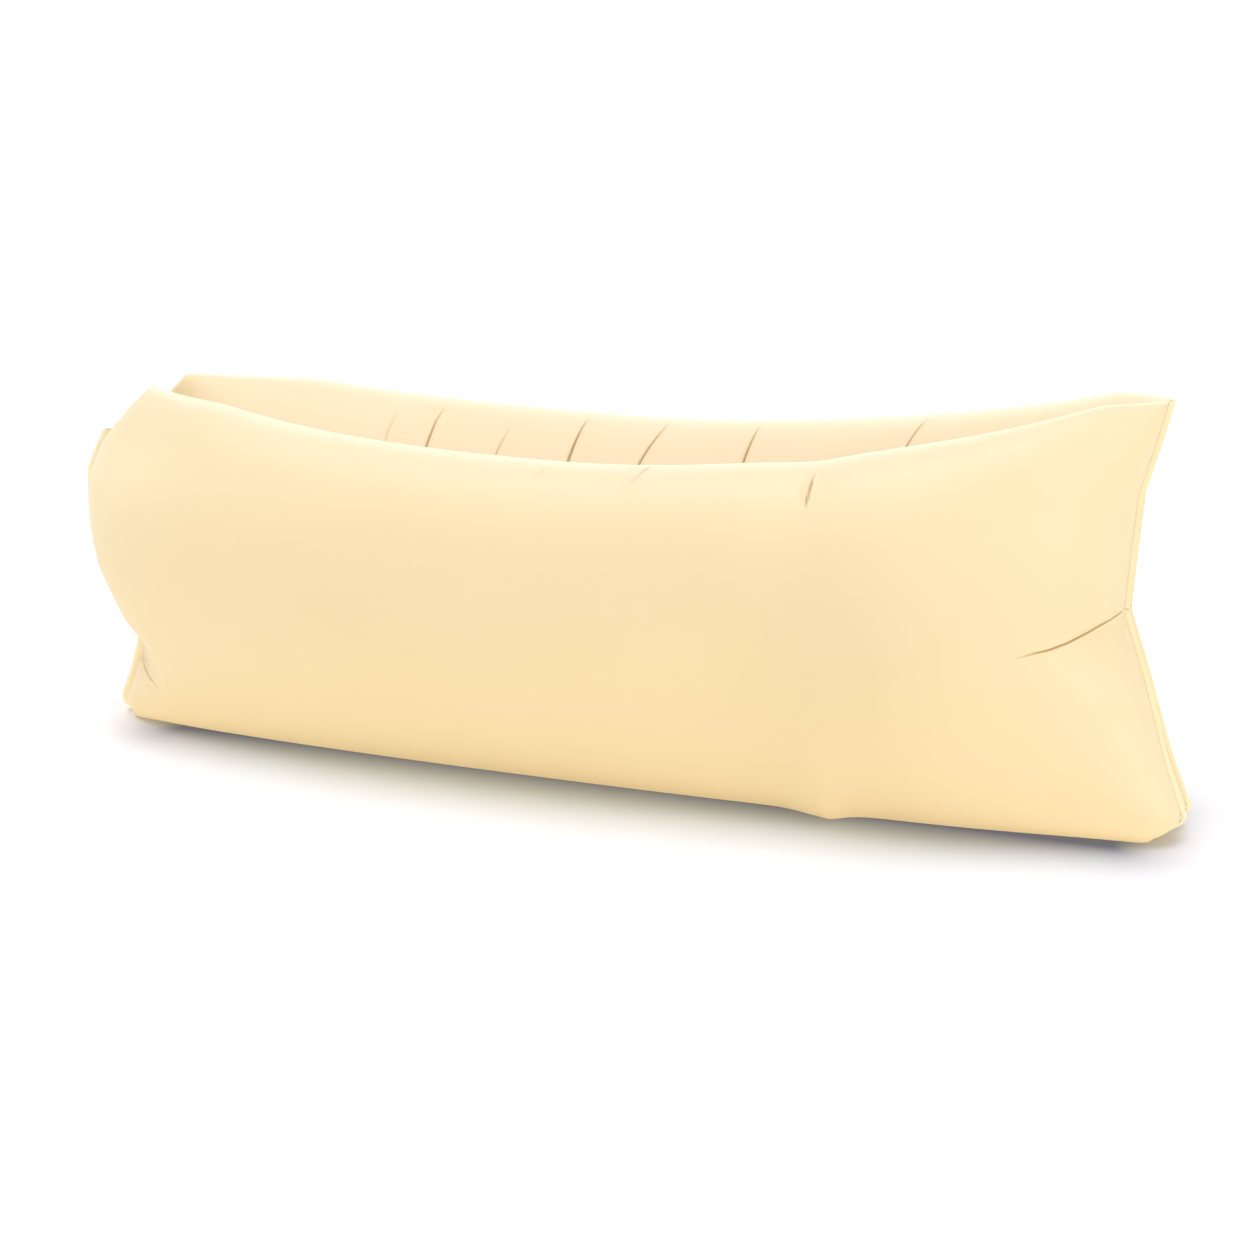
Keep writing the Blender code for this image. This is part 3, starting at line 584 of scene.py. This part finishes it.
def foldProfile(off, lipShare, hollowShare):
    # across a fold, in core widths: a narrow groove, a lip beside it and a wide hollow round it
    groove = np.exp(-np.abs(off) ** 1.4)
    lip = bell(off, 2.9, 1.9) + 0.55 * bell(off, -3.1, 2.1)
    return groove - lipShare * lip + hollowShare * bell(off, 0.0, 11.0)


def foldWeight(depth):
    # how dark the painted shade in the core of a fold is: a deep one closes on itself, a shallow one hardly
    # shows
    return min(1.0, depth / (7.5 * mm)) ** 1.6


def creaseSpan(angle, fade):
    return softStep(angle, fade[0], fade[1]) * (1.0 - softStep(angle, fade[2], fade[3]))


def creaseDepth(points, turn, creases):
    # how far the skin is sunk by the creases, and the painted shade of each point by how deep in a fold it
    # lies, 0 to 1
    x = points[..., 0]
    angle = np.degrees(turn) + 0.0 * x
    sunk, shade = np.zeros(x.shape), np.zeros(x.shape)
    for rows, fade, depth, width in creases:
        off = (x - readTable(rows, angle, chamber["creaseSpan"])) / width
        span = creaseSpan(angle, fade)
        sunk += depth * span * foldProfile(off, 0.30, 0.22)
        shade = np.maximum(shade, span * np.exp(-off ** 2) * foldWeight(depth))
    return sunk, shade


def pinchDepth(points, along, turn):
    # the pinches at the head's fold and low at the mouth, as folds that run inwards, and their painted shade
    x, z = points[..., 0], points[..., 2]
    outside = softStep(np.cos(turn) + 0.0 * x, 0.05, 0.5)
    sunk, shade = np.zeros(x.shape), np.zeros(x.shape)
    for rows, start, full, depth, width in (
            (headPinch, 0.725, 0.800, 7.0 * mm, 1.05 * mm),
            (mouthPinch, -0.795, -0.835, 7.0 * mm, 1.3 * mm),
            (mouthWrinkle, -0.820, -0.850, 2.4 * mm, 1.8 * mm)):
        off = (z - readTable(rows, x, chamber["pinchSpan"])) / width
        reach = softStep(x, start, full)
        sunk += depth * reach * foldProfile(off, 0.32, 0.30)
        shade = np.maximum(shade, reach * np.exp(-off ** 2) * foldWeight(depth))
    ease = outside * (1.0 - softStep(np.abs(along), 0.9965, 1.0))
    return ease * sunk, ease * shade


def hemPucker(points, along):
    # the gathers that a sewn edge draws in the cloth: fine ripples that fade away from the end
    z = points[..., 2]
    nearHead = softStep(along, 0.90, 0.985) * (1.0 - softStep(along, 0.990, 1.0))
    nearMouth = softStep(-along, 0.90, 0.980) * (1.0 - softStep(-along, 0.990, 1.0))
    wave = np.sin(z * 240.0 + 3.0 * np.sin(z * 31.0)) * (0.6 + 0.4 * np.sin(z * 57.0 + 1.3))
    upper = softStep(z, 0.015, 0.05)
    return 0.7 * mm * wave * upper * (nearHead + nearMouth)


def ringTurns(halfRing):
    # ring angles from the floor up the outer side to the rim and down the inner side,
    # crowded at the pinches, the rim and the edges of the floor patch
    degree = math.radians(1.0)
    head, mouth = pinchTurns
    crowds = (
        (head, 0.5 * degree, 26.0), (head, 1.3 * degree, 8.0), (head, 6.0 * degree, 2.0),
        (mouth, 0.7 * degree, 12.0), (mouth, 5.0 * degree, 2.5), (86.0 * degree, 9.0 * degree, 1.0),
        (-72.0 * degree, 6.0 * degree, 1.5))
    outer = crowdedPlaces(-math.pi / 2.0, math.pi / 2.0, halfRing + 1, np.ones_like, crowds)
    return np.concatenate([outer, math.pi - outer[-2:0:-1]])


def creaseMiddle(rows):
    # where a crease lies as a share along the chamber, from its mean place and the ends' mean reach
    return float(np.mean([row[1] for row in rows])) / chamber["meanReach"] / chamber["halfLength"]


def followedCreases(along, turn, creases):
    # columns of the grid bent, close to each crease, so that one of them runs along it
    angle, level = np.degrees(turn), ringLevel(turn)
    bent = along + 0.0 * turn
    for rows, _, _, _ in creases:
        line = readTable(rows, angle, chamber["creaseSpan"])
        middle = creaseMiddle(rows)
        target = alongAt(line, level, middle > 0.0)
        bent = bent + bell(along, middle, 0.034) * (target - middle)
    return bent


def followedPinches(along, turn, isRear):
    # rings of the grid bent so that one of them runs along the pinch of each end
    height = heightAt(along, isRear)
    spread = math.radians(9.0)
    bent = turn + 0.0 * along
    for rows, home, end in ((headPinch, pinchTurns[0], 1.0), (mouthPinch, pinchTurns[1], -1.0)):
        x = along * chamber["halfLength"] * 0.9
        for _ in range(4):
            level = readTable(rows, x, chamber["pinchSpan"]) / height
            straight, reach = endReach(level, end > 0.0)
            x = straight * along + end * (reach - straight) * np.abs(along) ** 4
        target = levelTurn(level)
        shift = (target - home) * softStep(end * along, 0.70, 0.80)
        bent = bent + shift * (bell(turn, home, spread) - bell(turn, math.pi - home, spread))
    return bent


def closedChamberFaces(columns, around):
    # the quads of the skin, and ladders of quads with a triangle at each tip that close both flat ends
    faces = tubeFaces(columns, around).tolist()
    half = around // 2
    for start, isLast in ((0, False), ((columns - 1) * around, True)):
        ladder = [[start, start + 1, start + around - 1]]
        for step in range(1, half - 1):
            far = start + around - step
            ladder.append([start + step, start + step + 1, far - 1, far])
        ladder.append([start + half - 1, start + half, start + half + 1])
        faces += ladder if isLast else [face[::-1] for face in ladder]
    return faces


def addFoldShade(piece, shade):
    layer = piece.data.attributes.new("foldShade", "FLOAT", "POINT")
    layer.data.foreach_set("value", shade.astype(np.float32).ravel())


def makeChamber(name, isRear, creases, columns, halfRing, inset=0.0):
    def base(place):
        return 84.0 / np.sqrt(1.0 - place ** 2 + 4e-4)

    crowds = []
    for rows, _, _, _ in creases:
        middle = creaseMiddle(rows)
        crowds += [(middle, 0.0042, 1900.0), (middle, 0.018, 260.0)]
    along = crowdedPlaces(-1.0, 1.0, columns, base, crowds)[:, None]
    turn = ringTurns(halfRing)[None, :]
    turns = followedPinches(along, turn, isRear)
    alongs = followedCreases(along, turns, creases)
    points = chamberSurface(isRear, alongs, turns)
    normals = gridNormals(points, -1.0 if isRear else 1.0)
    shade = np.zeros(points.shape[:2])
    if inset:
        points = points - normals * inset * (1.0 - 0.35 * np.abs(along[..., None]) ** 24)
    else:
        sunk, shade = creaseDepth(points, turns, creases)
        pinched, pinchShade = pinchDepth(points, alongs, turns)
        sunk = sunk + pinched + hemPucker(points, alongs)
        shade = np.maximum(shade, pinchShade)
        points = points - normals * sunk[..., None]
        points[..., 2] = np.maximum(points[..., 2], 0.0)
    side = 1.0 if isRear else -1.0
    points[..., 1] = side * np.maximum(side * points[..., 1], chamber["contact"] + inset)
    faces = closedChamberFaces(len(along), turn.shape[1])
    corners = tubeCorners(*gridLengths(points))
    if not isRear:
        faces = [face[::-1] for face in faces]
        corners = corners.reshape(-1, 4, 2)[:, ::-1].reshape(-1, 2)
    places = points.reshape(-1, 3)
    capCorners = np.concatenate([places[face][:, 1:] for face in faces[len(corners) // 4:]])
    piece = addPiece(name, places, faces, np.concatenate([corners, capCorners]))
    # the painted shade of the creases and pinches, kept on the points for the cloth's base colour
    addFoldShade(piece, shade)
    return piece


sides = (("front", False, frontCreases), ("rear", True, rearCreases))
for tag, isRear, creases in sides:
    shell = makeChamber(tag + "_shell", isRear, creases, chamber["columns"], chamber["halfRing"])
    dress(shell, coverCloth, "lounger", "cover_fabric", tag + "_cover")
for tag, isRear, _ in sides:
    liner = makeChamber(tag + "_film", isRear, (), film["columns"], film["halfRing"], film["inset"])
    dress(liner, filmFinish, "lounger", "liner_film", tag + "_air_liner")
print("chambers made")


# the hems of the head end

hem = {
    "outline": ((0.3, 4.2), (1.4, 4.0), (3.0, 3.4), (4.0, 2.7), (5.6, 2.2), (6.5, 1.5), (6.9, 0.8)),
    "stations": 240, "pucker": 0.30 * mm, "ripple": 0.30 * mm, "foldHalf": 1.3 * mm, "foldShare": 0.4,
    "stitchPitch": 3.6 * mm, "stitchLength": 2.5 * mm, "stitchRadius": 0.28 * mm, "stitchDepth": 4.8 * mm,
    "stitchOut": 2.45 * mm, "stitchSides": 6,
}


def endLine(isRear, along, levels):
    # middle line of a flat end, from the ring angles whose height shares are the given levels
    turn = levelTurn(levels)
    outer = chamberSurface(isRear, np.full((1, 1), along), turn[None, :])[0]
    inner = chamberSurface(isRear, np.full((1, 1), along), math.pi - turn[None, :])[0]
    return (outer + inner) / 2.0


def makeHem(name, isRear, node):
    # a folded binding: half thick where it meets the chamber, tapering to a rounded edge, a little puckered
    foldHeight = headPinch[-1][1]
    crowds = ((foldHeight / chamber["headHeight"], 0.006, 10.0),)
    levels = crowdedPlaces(0.004, 0.998, hem["stations"], np.ones_like, crowds)
    line = endLine(isRear, 1.0, levels)
    depth = chamber["hemDepth"]
    z = line[:, 2]
    wave = np.sin(z * 310.0 + 2.0 * np.sin(z * 40.0))
    line = line + joined(0.0 * z, hem["ripple"] * wave, 0.0 * z)
    outline = np.array(hem["outline"]) * mm
    lower = outline[::-1] * (1.0, -1.0)
    profile = np.concatenate([outline, [(depth, 0.0)], lower])
    puckered = np.broadcast_to(profile, (len(line),) + profile.shape).copy()
    swell = 1.0 + 0.10 * np.sin(z * 420.0 + 1.0)
    puckered[:, 1:-1, 1] *= swell[:, None]
    puckered[:, :, 0] -= (hem["pucker"] * (0.5 + 0.5 * wave))[:, None] * (profile[:, 0] / depth)[None, :]
    depthAxis = sameAxis(line, 1.0, 0.0, 0.0)
    widthAxis = sameAxis(line, 0.0, 1.0, 0.0)
    folded = bell(z, foldHeight, hem["foldHalf"])
    puckered[:, 1:-1, 1] *= (1.0 - hem["foldShare"] * folded)[:, None]
    piece = carriedProfile(name, line, depthAxis, widthAxis, puckered, 50.0)
    # painted shade: a dark line across the hem at the head's pinch, carrying on the crease from the chamber
    heights = np.empty(len(piece.data.vertices) * 3)
    piece.data.vertices.foreach_get("co", heights)
    addFoldShade(piece, 0.8 * bell(heights[2::3], foldHeight, hem["foldHalf"]))
    dress(piece, hemCloth, "lounger", "seam_fabric", node)
    return piece, line


def makeStitches(name, line, normals):
    # a row of short spindles laid on a line, each standing half out of the cloth along the normal
    pitch, length, radius = hem["stitchPitch"], hem["stitchLength"], hem["stitchRadius"]
    steps = runLengths(line)
    middles = np.arange(pitch, steps[-1] - pitch, pitch)
    place = readLine(middles, steps, line)
    ahead = readLine(middles + 0.5 * mm, steps, line)
    tangent = unit(ahead - place)
    normal = readLine(middles, steps, normals)
    normal = unit(normal - tangent * (normal * tangent).sum(-1, keepdims=True))
    side = np.cross(tangent, normal)
    around = hem["stitchSides"]
    ringTurn = np.arange(around) * 2.0 * math.pi / around
    shares = np.array((-1.0, -0.72, 0.0, 0.72, 1.0))
    widths = np.array((0.30, 0.90, 1.0, 0.90, 0.30)) * radius
    dips = np.array((-0.6, 0.2, 0.45, 0.2, -0.6)) * radius
    ring = (np.cos(ringTurn)[None, :, None] * normal[:, None, None]
            + np.sin(ringTurn)[None, :, None] * side[:, None, None])
    centres = (place[:, None] + tangent[:, None] * shares[None, :, None] * length / 2.0
               + normal[:, None] * dips[None, :, None])
    points = centres[:, :, None] + ring * widths[None, :, None, None]
    count = len(middles)
    each = len(shares) * around
    single = tubeFaces(len(shares), around).tolist()
    single += [list(range(around))[::-1], list(range(each - around, each))]
    faces = [[index + each * copy for index in face] for copy in range(count) for face in single]
    piece = addPiece(name, points.reshape(-1, 3), faces)
    turnOutwards(piece)
    return piece


for tag, isRear, _ in sides:
    piece, line = makeHem("head_binding_" + tag, isRear, "head_hem_" + tag)
    for faceTag, out in (("outer", 1.0), ("inner", -1.0)):
        side = out * (1.0 if isRear else -1.0)
        offset = np.array((hem["stitchDepth"], side * hem["stitchOut"], 0.0))
        normals = sameAxis(line, 0.0, side, 0.0)
        stitches = makeStitches(
            "binding_stitches_%s_%s" % (tag, faceTag), line + offset, normals)
        dress(stitches, threadFinish, "lounger", "seam_fabric")
print("hems made")


# tape that joins the chambers along the foot of the valley

tape = {"half": 0.718, "low": 0.0905, "high": 0.1495, "thickHalf": 1.1 * mm, "stations": 160}
tapeX = np.linspace(-tape["half"], tape["half"], tape["stations"])
tapeLine = joined(tapeX, 0.0 * tapeX, 0.0 * tapeX + (tape["low"] + tape["high"]) / 2.0)
tapeWidth = (tape["high"] - tape["low"]) / 2.0
tapePiece = carriedProfile(
    "valley_tape", tapeLine, sameAxis(tapeLine, 0.0, 0.0, 1.0),
    sameAxis(tapeLine, 0.0, 1.0, 0.0),
    roundedProfile(tapeWidth, tape["thickHalf"], 6.0, 28))
dress(tapePiece, bindingFinish, "lounger", "seam_fabric", "valley_seam")


# the rolled mouth

roll = {
    "depth": 24.0 * mm, "half": 8.0 * mm, "seat": 0.5 * mm, "turnRadius": 20.0 * mm,
    "floorGap": 2.5 * mm,
    "topLevel": 0.86, "footLevel": 0.055, "footOffset": 0.035, "legStations": 90, "turnStations": 14,
    "turns": 4.0, "innerHalf": 2.1 * mm, "innerDepthHalf": 9.9 * mm, "layer": 0.42 * mm, "wobble": 0.35 * mm,
    "flat": 0.72, "spiralSteps": 97,
}


def rollPath():
    # down the front leg of the mouth, round a quarter circle, under, round another and up the rear leg
    levels = np.linspace(roll["topLevel"], roll["footLevel"], roll["legStations"])
    front = endLine(False, -1.0, levels)
    rear = endLine(True, -1.0, levels)[::-1]
    footX = min(front[-1, 0], rear[0, 0])
    angle = np.linspace(0.0, math.pi / 2.0, roll["turnStations"])
    lowCentre = roll["floorGap"] + roll["half"]
    centreY = roll["footOffset"] - roll["turnRadius"]
    parts, widths = [front], [sameAxis(front, 0.0, -1.0, 0.0)]
    for side, turn in ((-1.0, angle), (1.0, angle[::-1])):
        outY, down = side * np.cos(turn), -np.sin(turn)
        parts.append(joined(
            0.0 * turn + footX, side * centreY + roll["turnRadius"] * outY,
            lowCentre + roll["turnRadius"] * (1.0 + down)))
        widths.append(joined(0.0 * turn, outY, down))
    parts.append(rear)
    widths.append(sameAxis(rear, 0.0, 1.0, 0.0))
    return np.concatenate(parts), np.concatenate(widths)


def spiralProfile():
    # flattened spiral: both half sizes grow evenly with the turns, and the strip has a fixed thickness
    turn = np.linspace(0.0, roll["turns"], roll["spiralSteps"])
    angle = turn * 2.0 * math.pi
    share = turn / roll["turns"]
    outerDepth = roll["depth"] / 2.0 - roll["layer"] * 0.7
    outerWidth = roll["half"] - roll["layer"] * 0.9
    depthHalf = roll["innerDepthHalf"] + (outerDepth - roll["innerDepthHalf"]) * share
    widthHalf = roll["innerHalf"] + (outerWidth - roll["innerHalf"]) * share
    line = joined(
        depthHalf * flattened(np.cos(angle), roll["flat"]),
        widthHalf * flattened(np.sin(angle), roll["flat"]))
    slope = np.gradient(line, axis=0)
    across = unit(joined(slope[:, 1], -slope[:, 0])) * roll["layer"] / 2.0
    middle = roll["seat"] + roll["depth"] / 2.0
    return np.concatenate([line + across, (line - across)[::-1]]) + (middle, 0.0)


rollLine, rollWidth = rollPath()
rollSteps = runLengths(rollLine)
spiral = spiralProfile()
rollRings = np.broadcast_to(spiral, (len(rollLine),) + spiral.shape).copy()
rollWave = (np.sin(rollSteps * 190.0 + 2.0 * np.sin(rollSteps * 23.0))
            + 0.6 * np.sin(rollSteps * 410.0 + 1.7)) / 1.6
rollRings[:, :, 1] *= 1.0 - (roll["wobble"] / roll["half"]) * (1.0 + rollWave[:, None]) / 2.0
rollPiece = carriedProfile(
    "rolled_mouth", rollLine, sameAxis(rollLine, -1.0, 0.0, 0.0), rollWidth,
    rollRings, 60.0)
dress(rollPiece, rollCloth, "lounger", "seam_fabric", "mouth_roll")
for node in ("mouth_batten_outer", "mouth_batten_inner"):
    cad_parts[node].data.materials.clear()
    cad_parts[node].data.materials.append(battenFinish)
print("mouth made")


# the buckle and its webbing

buckle = {
    "x": -0.95037, "y": 0.0075, "z": 0.50003, "webWidth": 20.0 * mm, "webThick": 1.0 * mm, "tab": 9.0 * mm,
    "tail": 12.0 * mm, "bend": 1.0 * mm, "gap": 0.3 * mm, "frameThick": 3.6 * mm, "bar": 2.5 * mm,
    "slot": 3.0 * mm, "frameEdge": 1.0 * mm, "socket": 21.0 * mm, "plug": 6.0 * mm, "legInner": 42.0 * mm,
    "roundSteps": 3, "roundFrom": 30.0, "bendSteps": 7, "webStep": 0.8 * mm,
}


def softenedCopy(name, node, edge, body):
    # the node's own mesh, welded, with its sharp edges rounded
    work = bmesh.new()
    work.from_mesh(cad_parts[node].data)
    bmesh.ops.remove_doubles(work, verts=work.verts, dist=1e-6)
    bmesh.ops.dissolve_limit(work, angle_limit=math.radians(1.0), verts=work.verts, edges=work.edges)
    mesh = bpy.data.meshes.new(name)
    work.to_mesh(mesh)
    work.free()
    mesh.shade_smooth()
    piece = addObject(name, mesh)
    rounding = piece.modifiers.new("rounding", "BEVEL")
    rounding.width = edge
    rounding.segments = buckle["roundSteps"]
    rounding.limit_method = "ANGLE"
    rounding.angle_limit = math.radians(buckle["roundFrom"])
    rounding.harden_normals = True
    dress(piece, buckleFinish, body, "buckle_plastic", node)
    return piece


def filletedPath(points, radius, steps):
    # straight runs joined by arcs of the radius at each inner corner
    rows = [np.array(points[0], float)]
    for before, corner, after in zip(points, points[1:], points[2:]):
        before, corner, after = (np.array(point, float) for point in (before, corner, after))
        back, ahead = unit(before - corner), unit(after - corner)
        half = math.acos(float(np.clip(back @ ahead, -1.0, 1.0))) / 2.0
        cut = radius / math.tan(half)
        centre = corner + unit(back + ahead) * radius / math.sin(half)
        start, end = corner + back * cut - centre, corner + ahead * cut - centre
        sweep = math.atan2(start[0] * end[1] - start[1] * end[0], float(start @ end))
        turn = np.linspace(0.0, sweep, steps)
        rows += list(centre + joined(
            start[0] * np.cos(turn) - start[1] * np.sin(turn),
            start[0] * np.sin(turn) + start[1] * np.cos(turn)))
    rows.append(np.array(points[-1], float))
    return np.array(rows)


def makeWebbing(name, isRear, node):
    # sewn flat to the roll's leg, out to the buckle, round its bar and back on itself
    side = 1.0 if isRear else -1.0
    body = buckle["gap"] + buckle["plug"] if isRear else buckle["socket"]
    frameLength = buckle["bar"] + buckle["slot"] + buckle["frameEdge"]
    webOffset = buckle["frameThick"] / 2.0 + buckle["gap"] + buckle["webThick"] / 2.0
    turn = body + frameLength - buckle["bar"] - buckle["gap"] - buckle["webThick"] / 2.0
    tab = buckle["legInner"] - buckle["gap"] - buckle["webThick"] / 2.0 - side * buckle["y"]
    tailStart = body + frameLength + buckle["webThick"] * 2.0
    tailThrough = -webOffset + buckle["webThick"] + buckle["gap"]
    route = (
        (-webOffset - buckle["tab"], tab), (-webOffset, tab), (-webOffset, turn), (webOffset, turn),
        (webOffset, tailStart), (tailThrough, tailStart + webOffset * 2.0),
        (tailThrough, tailStart + buckle["tail"]))
    path = filletedPath(route, buckle["bend"], buckle["bendSteps"])
    steps = runLengths(path)
    fine = np.unique(np.concatenate([steps, np.arange(0.0, steps[-1], buckle["webStep"])]))
    path = readLine(fine, steps, path)
    slope = unit(np.gradient(path, axis=0))
    line = joined(
        buckle["x"] + path[:, 0], buckle["y"] + side * path[:, 1], 0.0 * fine + buckle["z"])
    across = joined(slope[:, 1], -side * slope[:, 0], 0.0 * fine)
    upright = sameAxis(line, 0.0, 0.0, 1.0)
    profile = roundedProfile(buckle["webThick"] / 2.0, buckle["webWidth"] / 2.0, 5.0, 28)
    piece = carriedProfile(name, line, across, upright, profile, 60.0)
    piece.data.materials.append(webbingFinish)
    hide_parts(node)
    return piece


makeWebbing("webbing_front", False, "strap_front")
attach(bpy.data.objects["webbing_front"], "lounger")
rearWebbing = makeWebbing("webbing_rear", True, "strap_rear")
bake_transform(rearWebbing)
for name, node, body, edge in (
        ("socket_body", "buckle_socket", "lounger", 0.4 * mm),
        ("plug_body", "buckle_plug", "plug", 0.35 * mm),
        ("prong_upper_leg", "buckle_prong_upper", "prong_upper", 0.3 * mm),
        ("prong_lower_leg", "buckle_prong_lower", "prong_lower", 0.3 * mm)):
    softenedCopy(name, node, edge, body)
print("buckle made")


# floor, light and camera

stage = {
    "floorHalf": 120.0, "floorCells": 8, "floorDrop": 0.0004,
    # floor colours: far is plain white; the camera sees a painted cool cast round the lounger that cancels
    # the warm light the cloth throws down, and a painted shadow at its foot, bluest under the middle; other
    # rays see a warm floor
    "floorFar": (0.90, 0.90, 0.91), "floorBack": (0.90, 0.87, 0.77), "paintedCoolCast": (0.79, 0.915, 1.0),
    "paintedShadowNear": (0.08, 0.09, 0.12), "paintedShadowUnder": (0.085, 0.09, 0.24),
    "footprint": (0.04, 0.84, 0.085), "nearReach": 0.30, "byReach": 0.36,
    "middleHalf": 0.60, "middleReach": 0.36,
    # the glows: what the camera sees, and warm light that the floor throws up at the cloth though it is no
    # lamp
    "nearGlow": (0.112, 0.112, 0.113), "backGlow": (1.0, 0.96, 0.84), "floorGlow": 0.200, "byGlow": 0.15,
    "lift": 0.42, "dark": (0.0, 0.0, 0.0), "sky": 0.30,
    "yaw": 20.34, "pitch": 16.62, "distance": 4.247, "target": (0.0279, 0.0, 0.252),
    "sensor": 36.0, "lens": 36.0 * 2500.0 / 1254.0, "lampDistance": 6.0,
}
# each lamp: name, heading and height of its direction in degrees, spread in degrees, level, colour
lamps = (
    ("key", -125.0, 75.0, 50.0, 0.528, (1.0, 1.0, 1.14)),
    ("right_low", -15.0, 4.0, 30.0, 0.420, (1.0, 1.0, 1.0)),
    ("right_high", -15.0, 75.0, 50.0, 0.180, (1.0, 1.0, 1.14)),
    ("left_low", -170.0, 4.0, 30.0, 0.243, (1.0, 0.99, 0.90)),
    ("front_low", -70.0, 4.0, 30.0, 0.176, (1.0, 0.99, 0.88)),
    ("back_low", 110.0, 20.0, 50.0, 0.248, (1.0, 1.0, 1.0)),
    ("back_high", 120.0, 45.0, 50.0, 0.062, (1.0, 1.0, 1.0)),
)


def makeFloor():
    # a wide white sheet: close to the lounger the camera sees a painted shadow and a painted cool cast on
    # it, and it glows, throwing warm light up at the cloth though it is no lamp
    cells = stage["floorCells"]
    grid = np.linspace(-stage["floorHalf"], stage["floorHalf"], cells + 1)
    x, y = np.meshgrid(grid, grid, indexing="ij")
    points = joined(x, y, np.full_like(x, -stage["floorDrop"])).reshape(-1, 3)
    row, column = np.meshgrid(np.arange(cells), np.arange(cells), indexing="ij")
    here = row * (cells + 1) + column
    faces = joined(here, here + cells + 1, here + cells + 2, here + 1).reshape(-1, 4)
    piece = addPiece("studio_floor", points, faces)
    finish = Finish("studio_white")
    spot = finish.node("ShaderNodeTexCoord", output="Object")
    fromLeft = finish.node("ShaderNodeSeparateXYZ", {}, {0: spot})
    centre, halfX, halfY = stage["footprint"]
    sideways, deep = (fromLeft - centre).maths("ABSOLUTE"), fromLeft.sibling(1).maths("ABSOLUTE")
    overX, overY = (sideways - halfX).maths("MAXIMUM", 0.0), (deep - halfY).maths("MAXIMUM", 0.0)
    # the distance from the footprint is the root of the squares of how far a point lies past it each way
    away = (overX * overX + overY * overY).maths("SQRT")
    # the painted shadow's share: 1 at the footprint, falling to 0 at nearReach, taken to the 4th power
    paintedShadowShare = 1.0 - (away * (1.0 / stage["nearReach"])).maths("MINIMUM", 1.0)
    paintedShadowShare = paintedShadowShare * paintedShadowShare
    paintedShadowShare = paintedShadowShare * paintedShadowShare
    by = 1.0 - (away * (1.0 / stage["byReach"])).maths("MINIMUM", 1.0)
    pastMiddle = (sideways - stage["middleHalf"]).maths("MAXIMUM", 0.0)
    middle = 1.0 - (pastMiddle * (1.0 / stage["middleReach"])).maths("MINIMUM", 1.0)
    camera = finish.node("ShaderNodeLightPath", output="Is Camera Ray")
    diffuse = finish.node("ShaderNodeLightPath", output="Is Diffuse Ray")
    # painted shadow, seen only by the camera: a cool cast round the lounger and dark colours at its foot
    seen = mixColours(finish, by * middle, stage["floorFar"], stage["paintedCoolCast"])
    shaded = mixColours(finish, middle, stage["paintedShadowNear"], stage["paintedShadowUnder"])
    seen = mixColours(finish, paintedShadowShare, seen, shaded)
    # other rays see a warm floor colour, so the light it throws up at the cloth is warm
    base = mixColours(finish, camera, stage["floorBack"], seen)
    # the camera sees a faint glow everywhere, strongest in the painted shadow's core, which sets how dark
    # that painted shadow looks
    lit = paintedShadowShare + (1.0 - paintedShadowShare) * stage["lift"]
    # painted light: other rays see the floor glow warm, more near the lounger, so it lights the cloth from
    # below though it is no lamp
    thrown = diffuse * (by * stage["byGlow"] + stage["floorGlow"])
    glowSeen = mixColours(finish, lit, stage["dark"], stage["nearGlow"])
    glowThrown = mixColours(finish, thrown, stage["dark"], stage["backGlow"])
    glow = mixColours(finish, camera, glowThrown, glowSeen)
    finish.surface(
        Base_Color=base, Roughness=0.95, Specular_IOR_Level=0.0, Emission_Color=glow, Emission_Strength=1.0)
    piece.data.materials.append(finish.material)


def makeWorld():
    # the camera, mirror-like rays and rays through film see plain white, and the rest a lower level
    world = bpy.data.worlds.new("studio")
    bpy.context.scene.world = world
    world.use_nodes = True
    sky = Finish("studio", world.node_tree)
    background = sky.tree.nodes["Background"]
    path = sky.node("ShaderNodeLightPath", output="Is Camera Ray")
    mirror = sky.node("ShaderNodeLightPath", output="Is Glossy Ray")
    through = sky.node("ShaderNodeLightPath", output="Is Transmission Ray")
    white = path.maths("MAXIMUM", mirror).maths("MAXIMUM", through)
    sky.feed(background.inputs["Color"], (1.0, 1.0, 1.0, 1.0))
    sky.feed(background.inputs["Strength"], white * (1.0 - stage["sky"]) + stage["sky"])


def aim(holder, location, look):
    holder.location = location
    holder.rotation_mode = "QUATERNION"
    holder.rotation_quaternion = look.to_track_quat("-Z", "Y")


def addSun(name, heading, height, spread, level, colour):
    # a far, wide lamp: it lights a surface that faces it to the level, whatever the place
    lamp = bpy.data.lights.new(name, "SUN")
    lamp.energy = math.pi * level
    lamp.color = colour
    lamp.angle = math.radians(spread)
    turn, rise = math.radians(heading), math.radians(height)
    towards = Vector((math.cos(turn) * math.cos(rise), math.sin(turn) * math.cos(rise), math.sin(rise)))
    aim(addObject(name, lamp), towards * stage["lampDistance"], -towards)


def makeCamera():
    yaw, pitch = math.radians(stage["yaw"]), math.radians(stage["pitch"])
    look = Vector((-math.sin(yaw) * math.cos(pitch), math.cos(yaw) * math.cos(pitch), -math.sin(pitch)))
    lens = bpy.data.cameras.new("camera")
    lens.sensor_width = stage["sensor"]
    lens.lens = stage["lens"]
    holder = addObject("camera", lens)
    aim(holder, Vector(stage["target"]) - look * stage["distance"], look)
    bpy.context.scene.camera = holder


makeFloor()
makeWorld()
for lampRow in lamps:
    addSun(*lampRow)
makeCamera()
bpy.context.scene.view_settings.view_transform = "Standard"
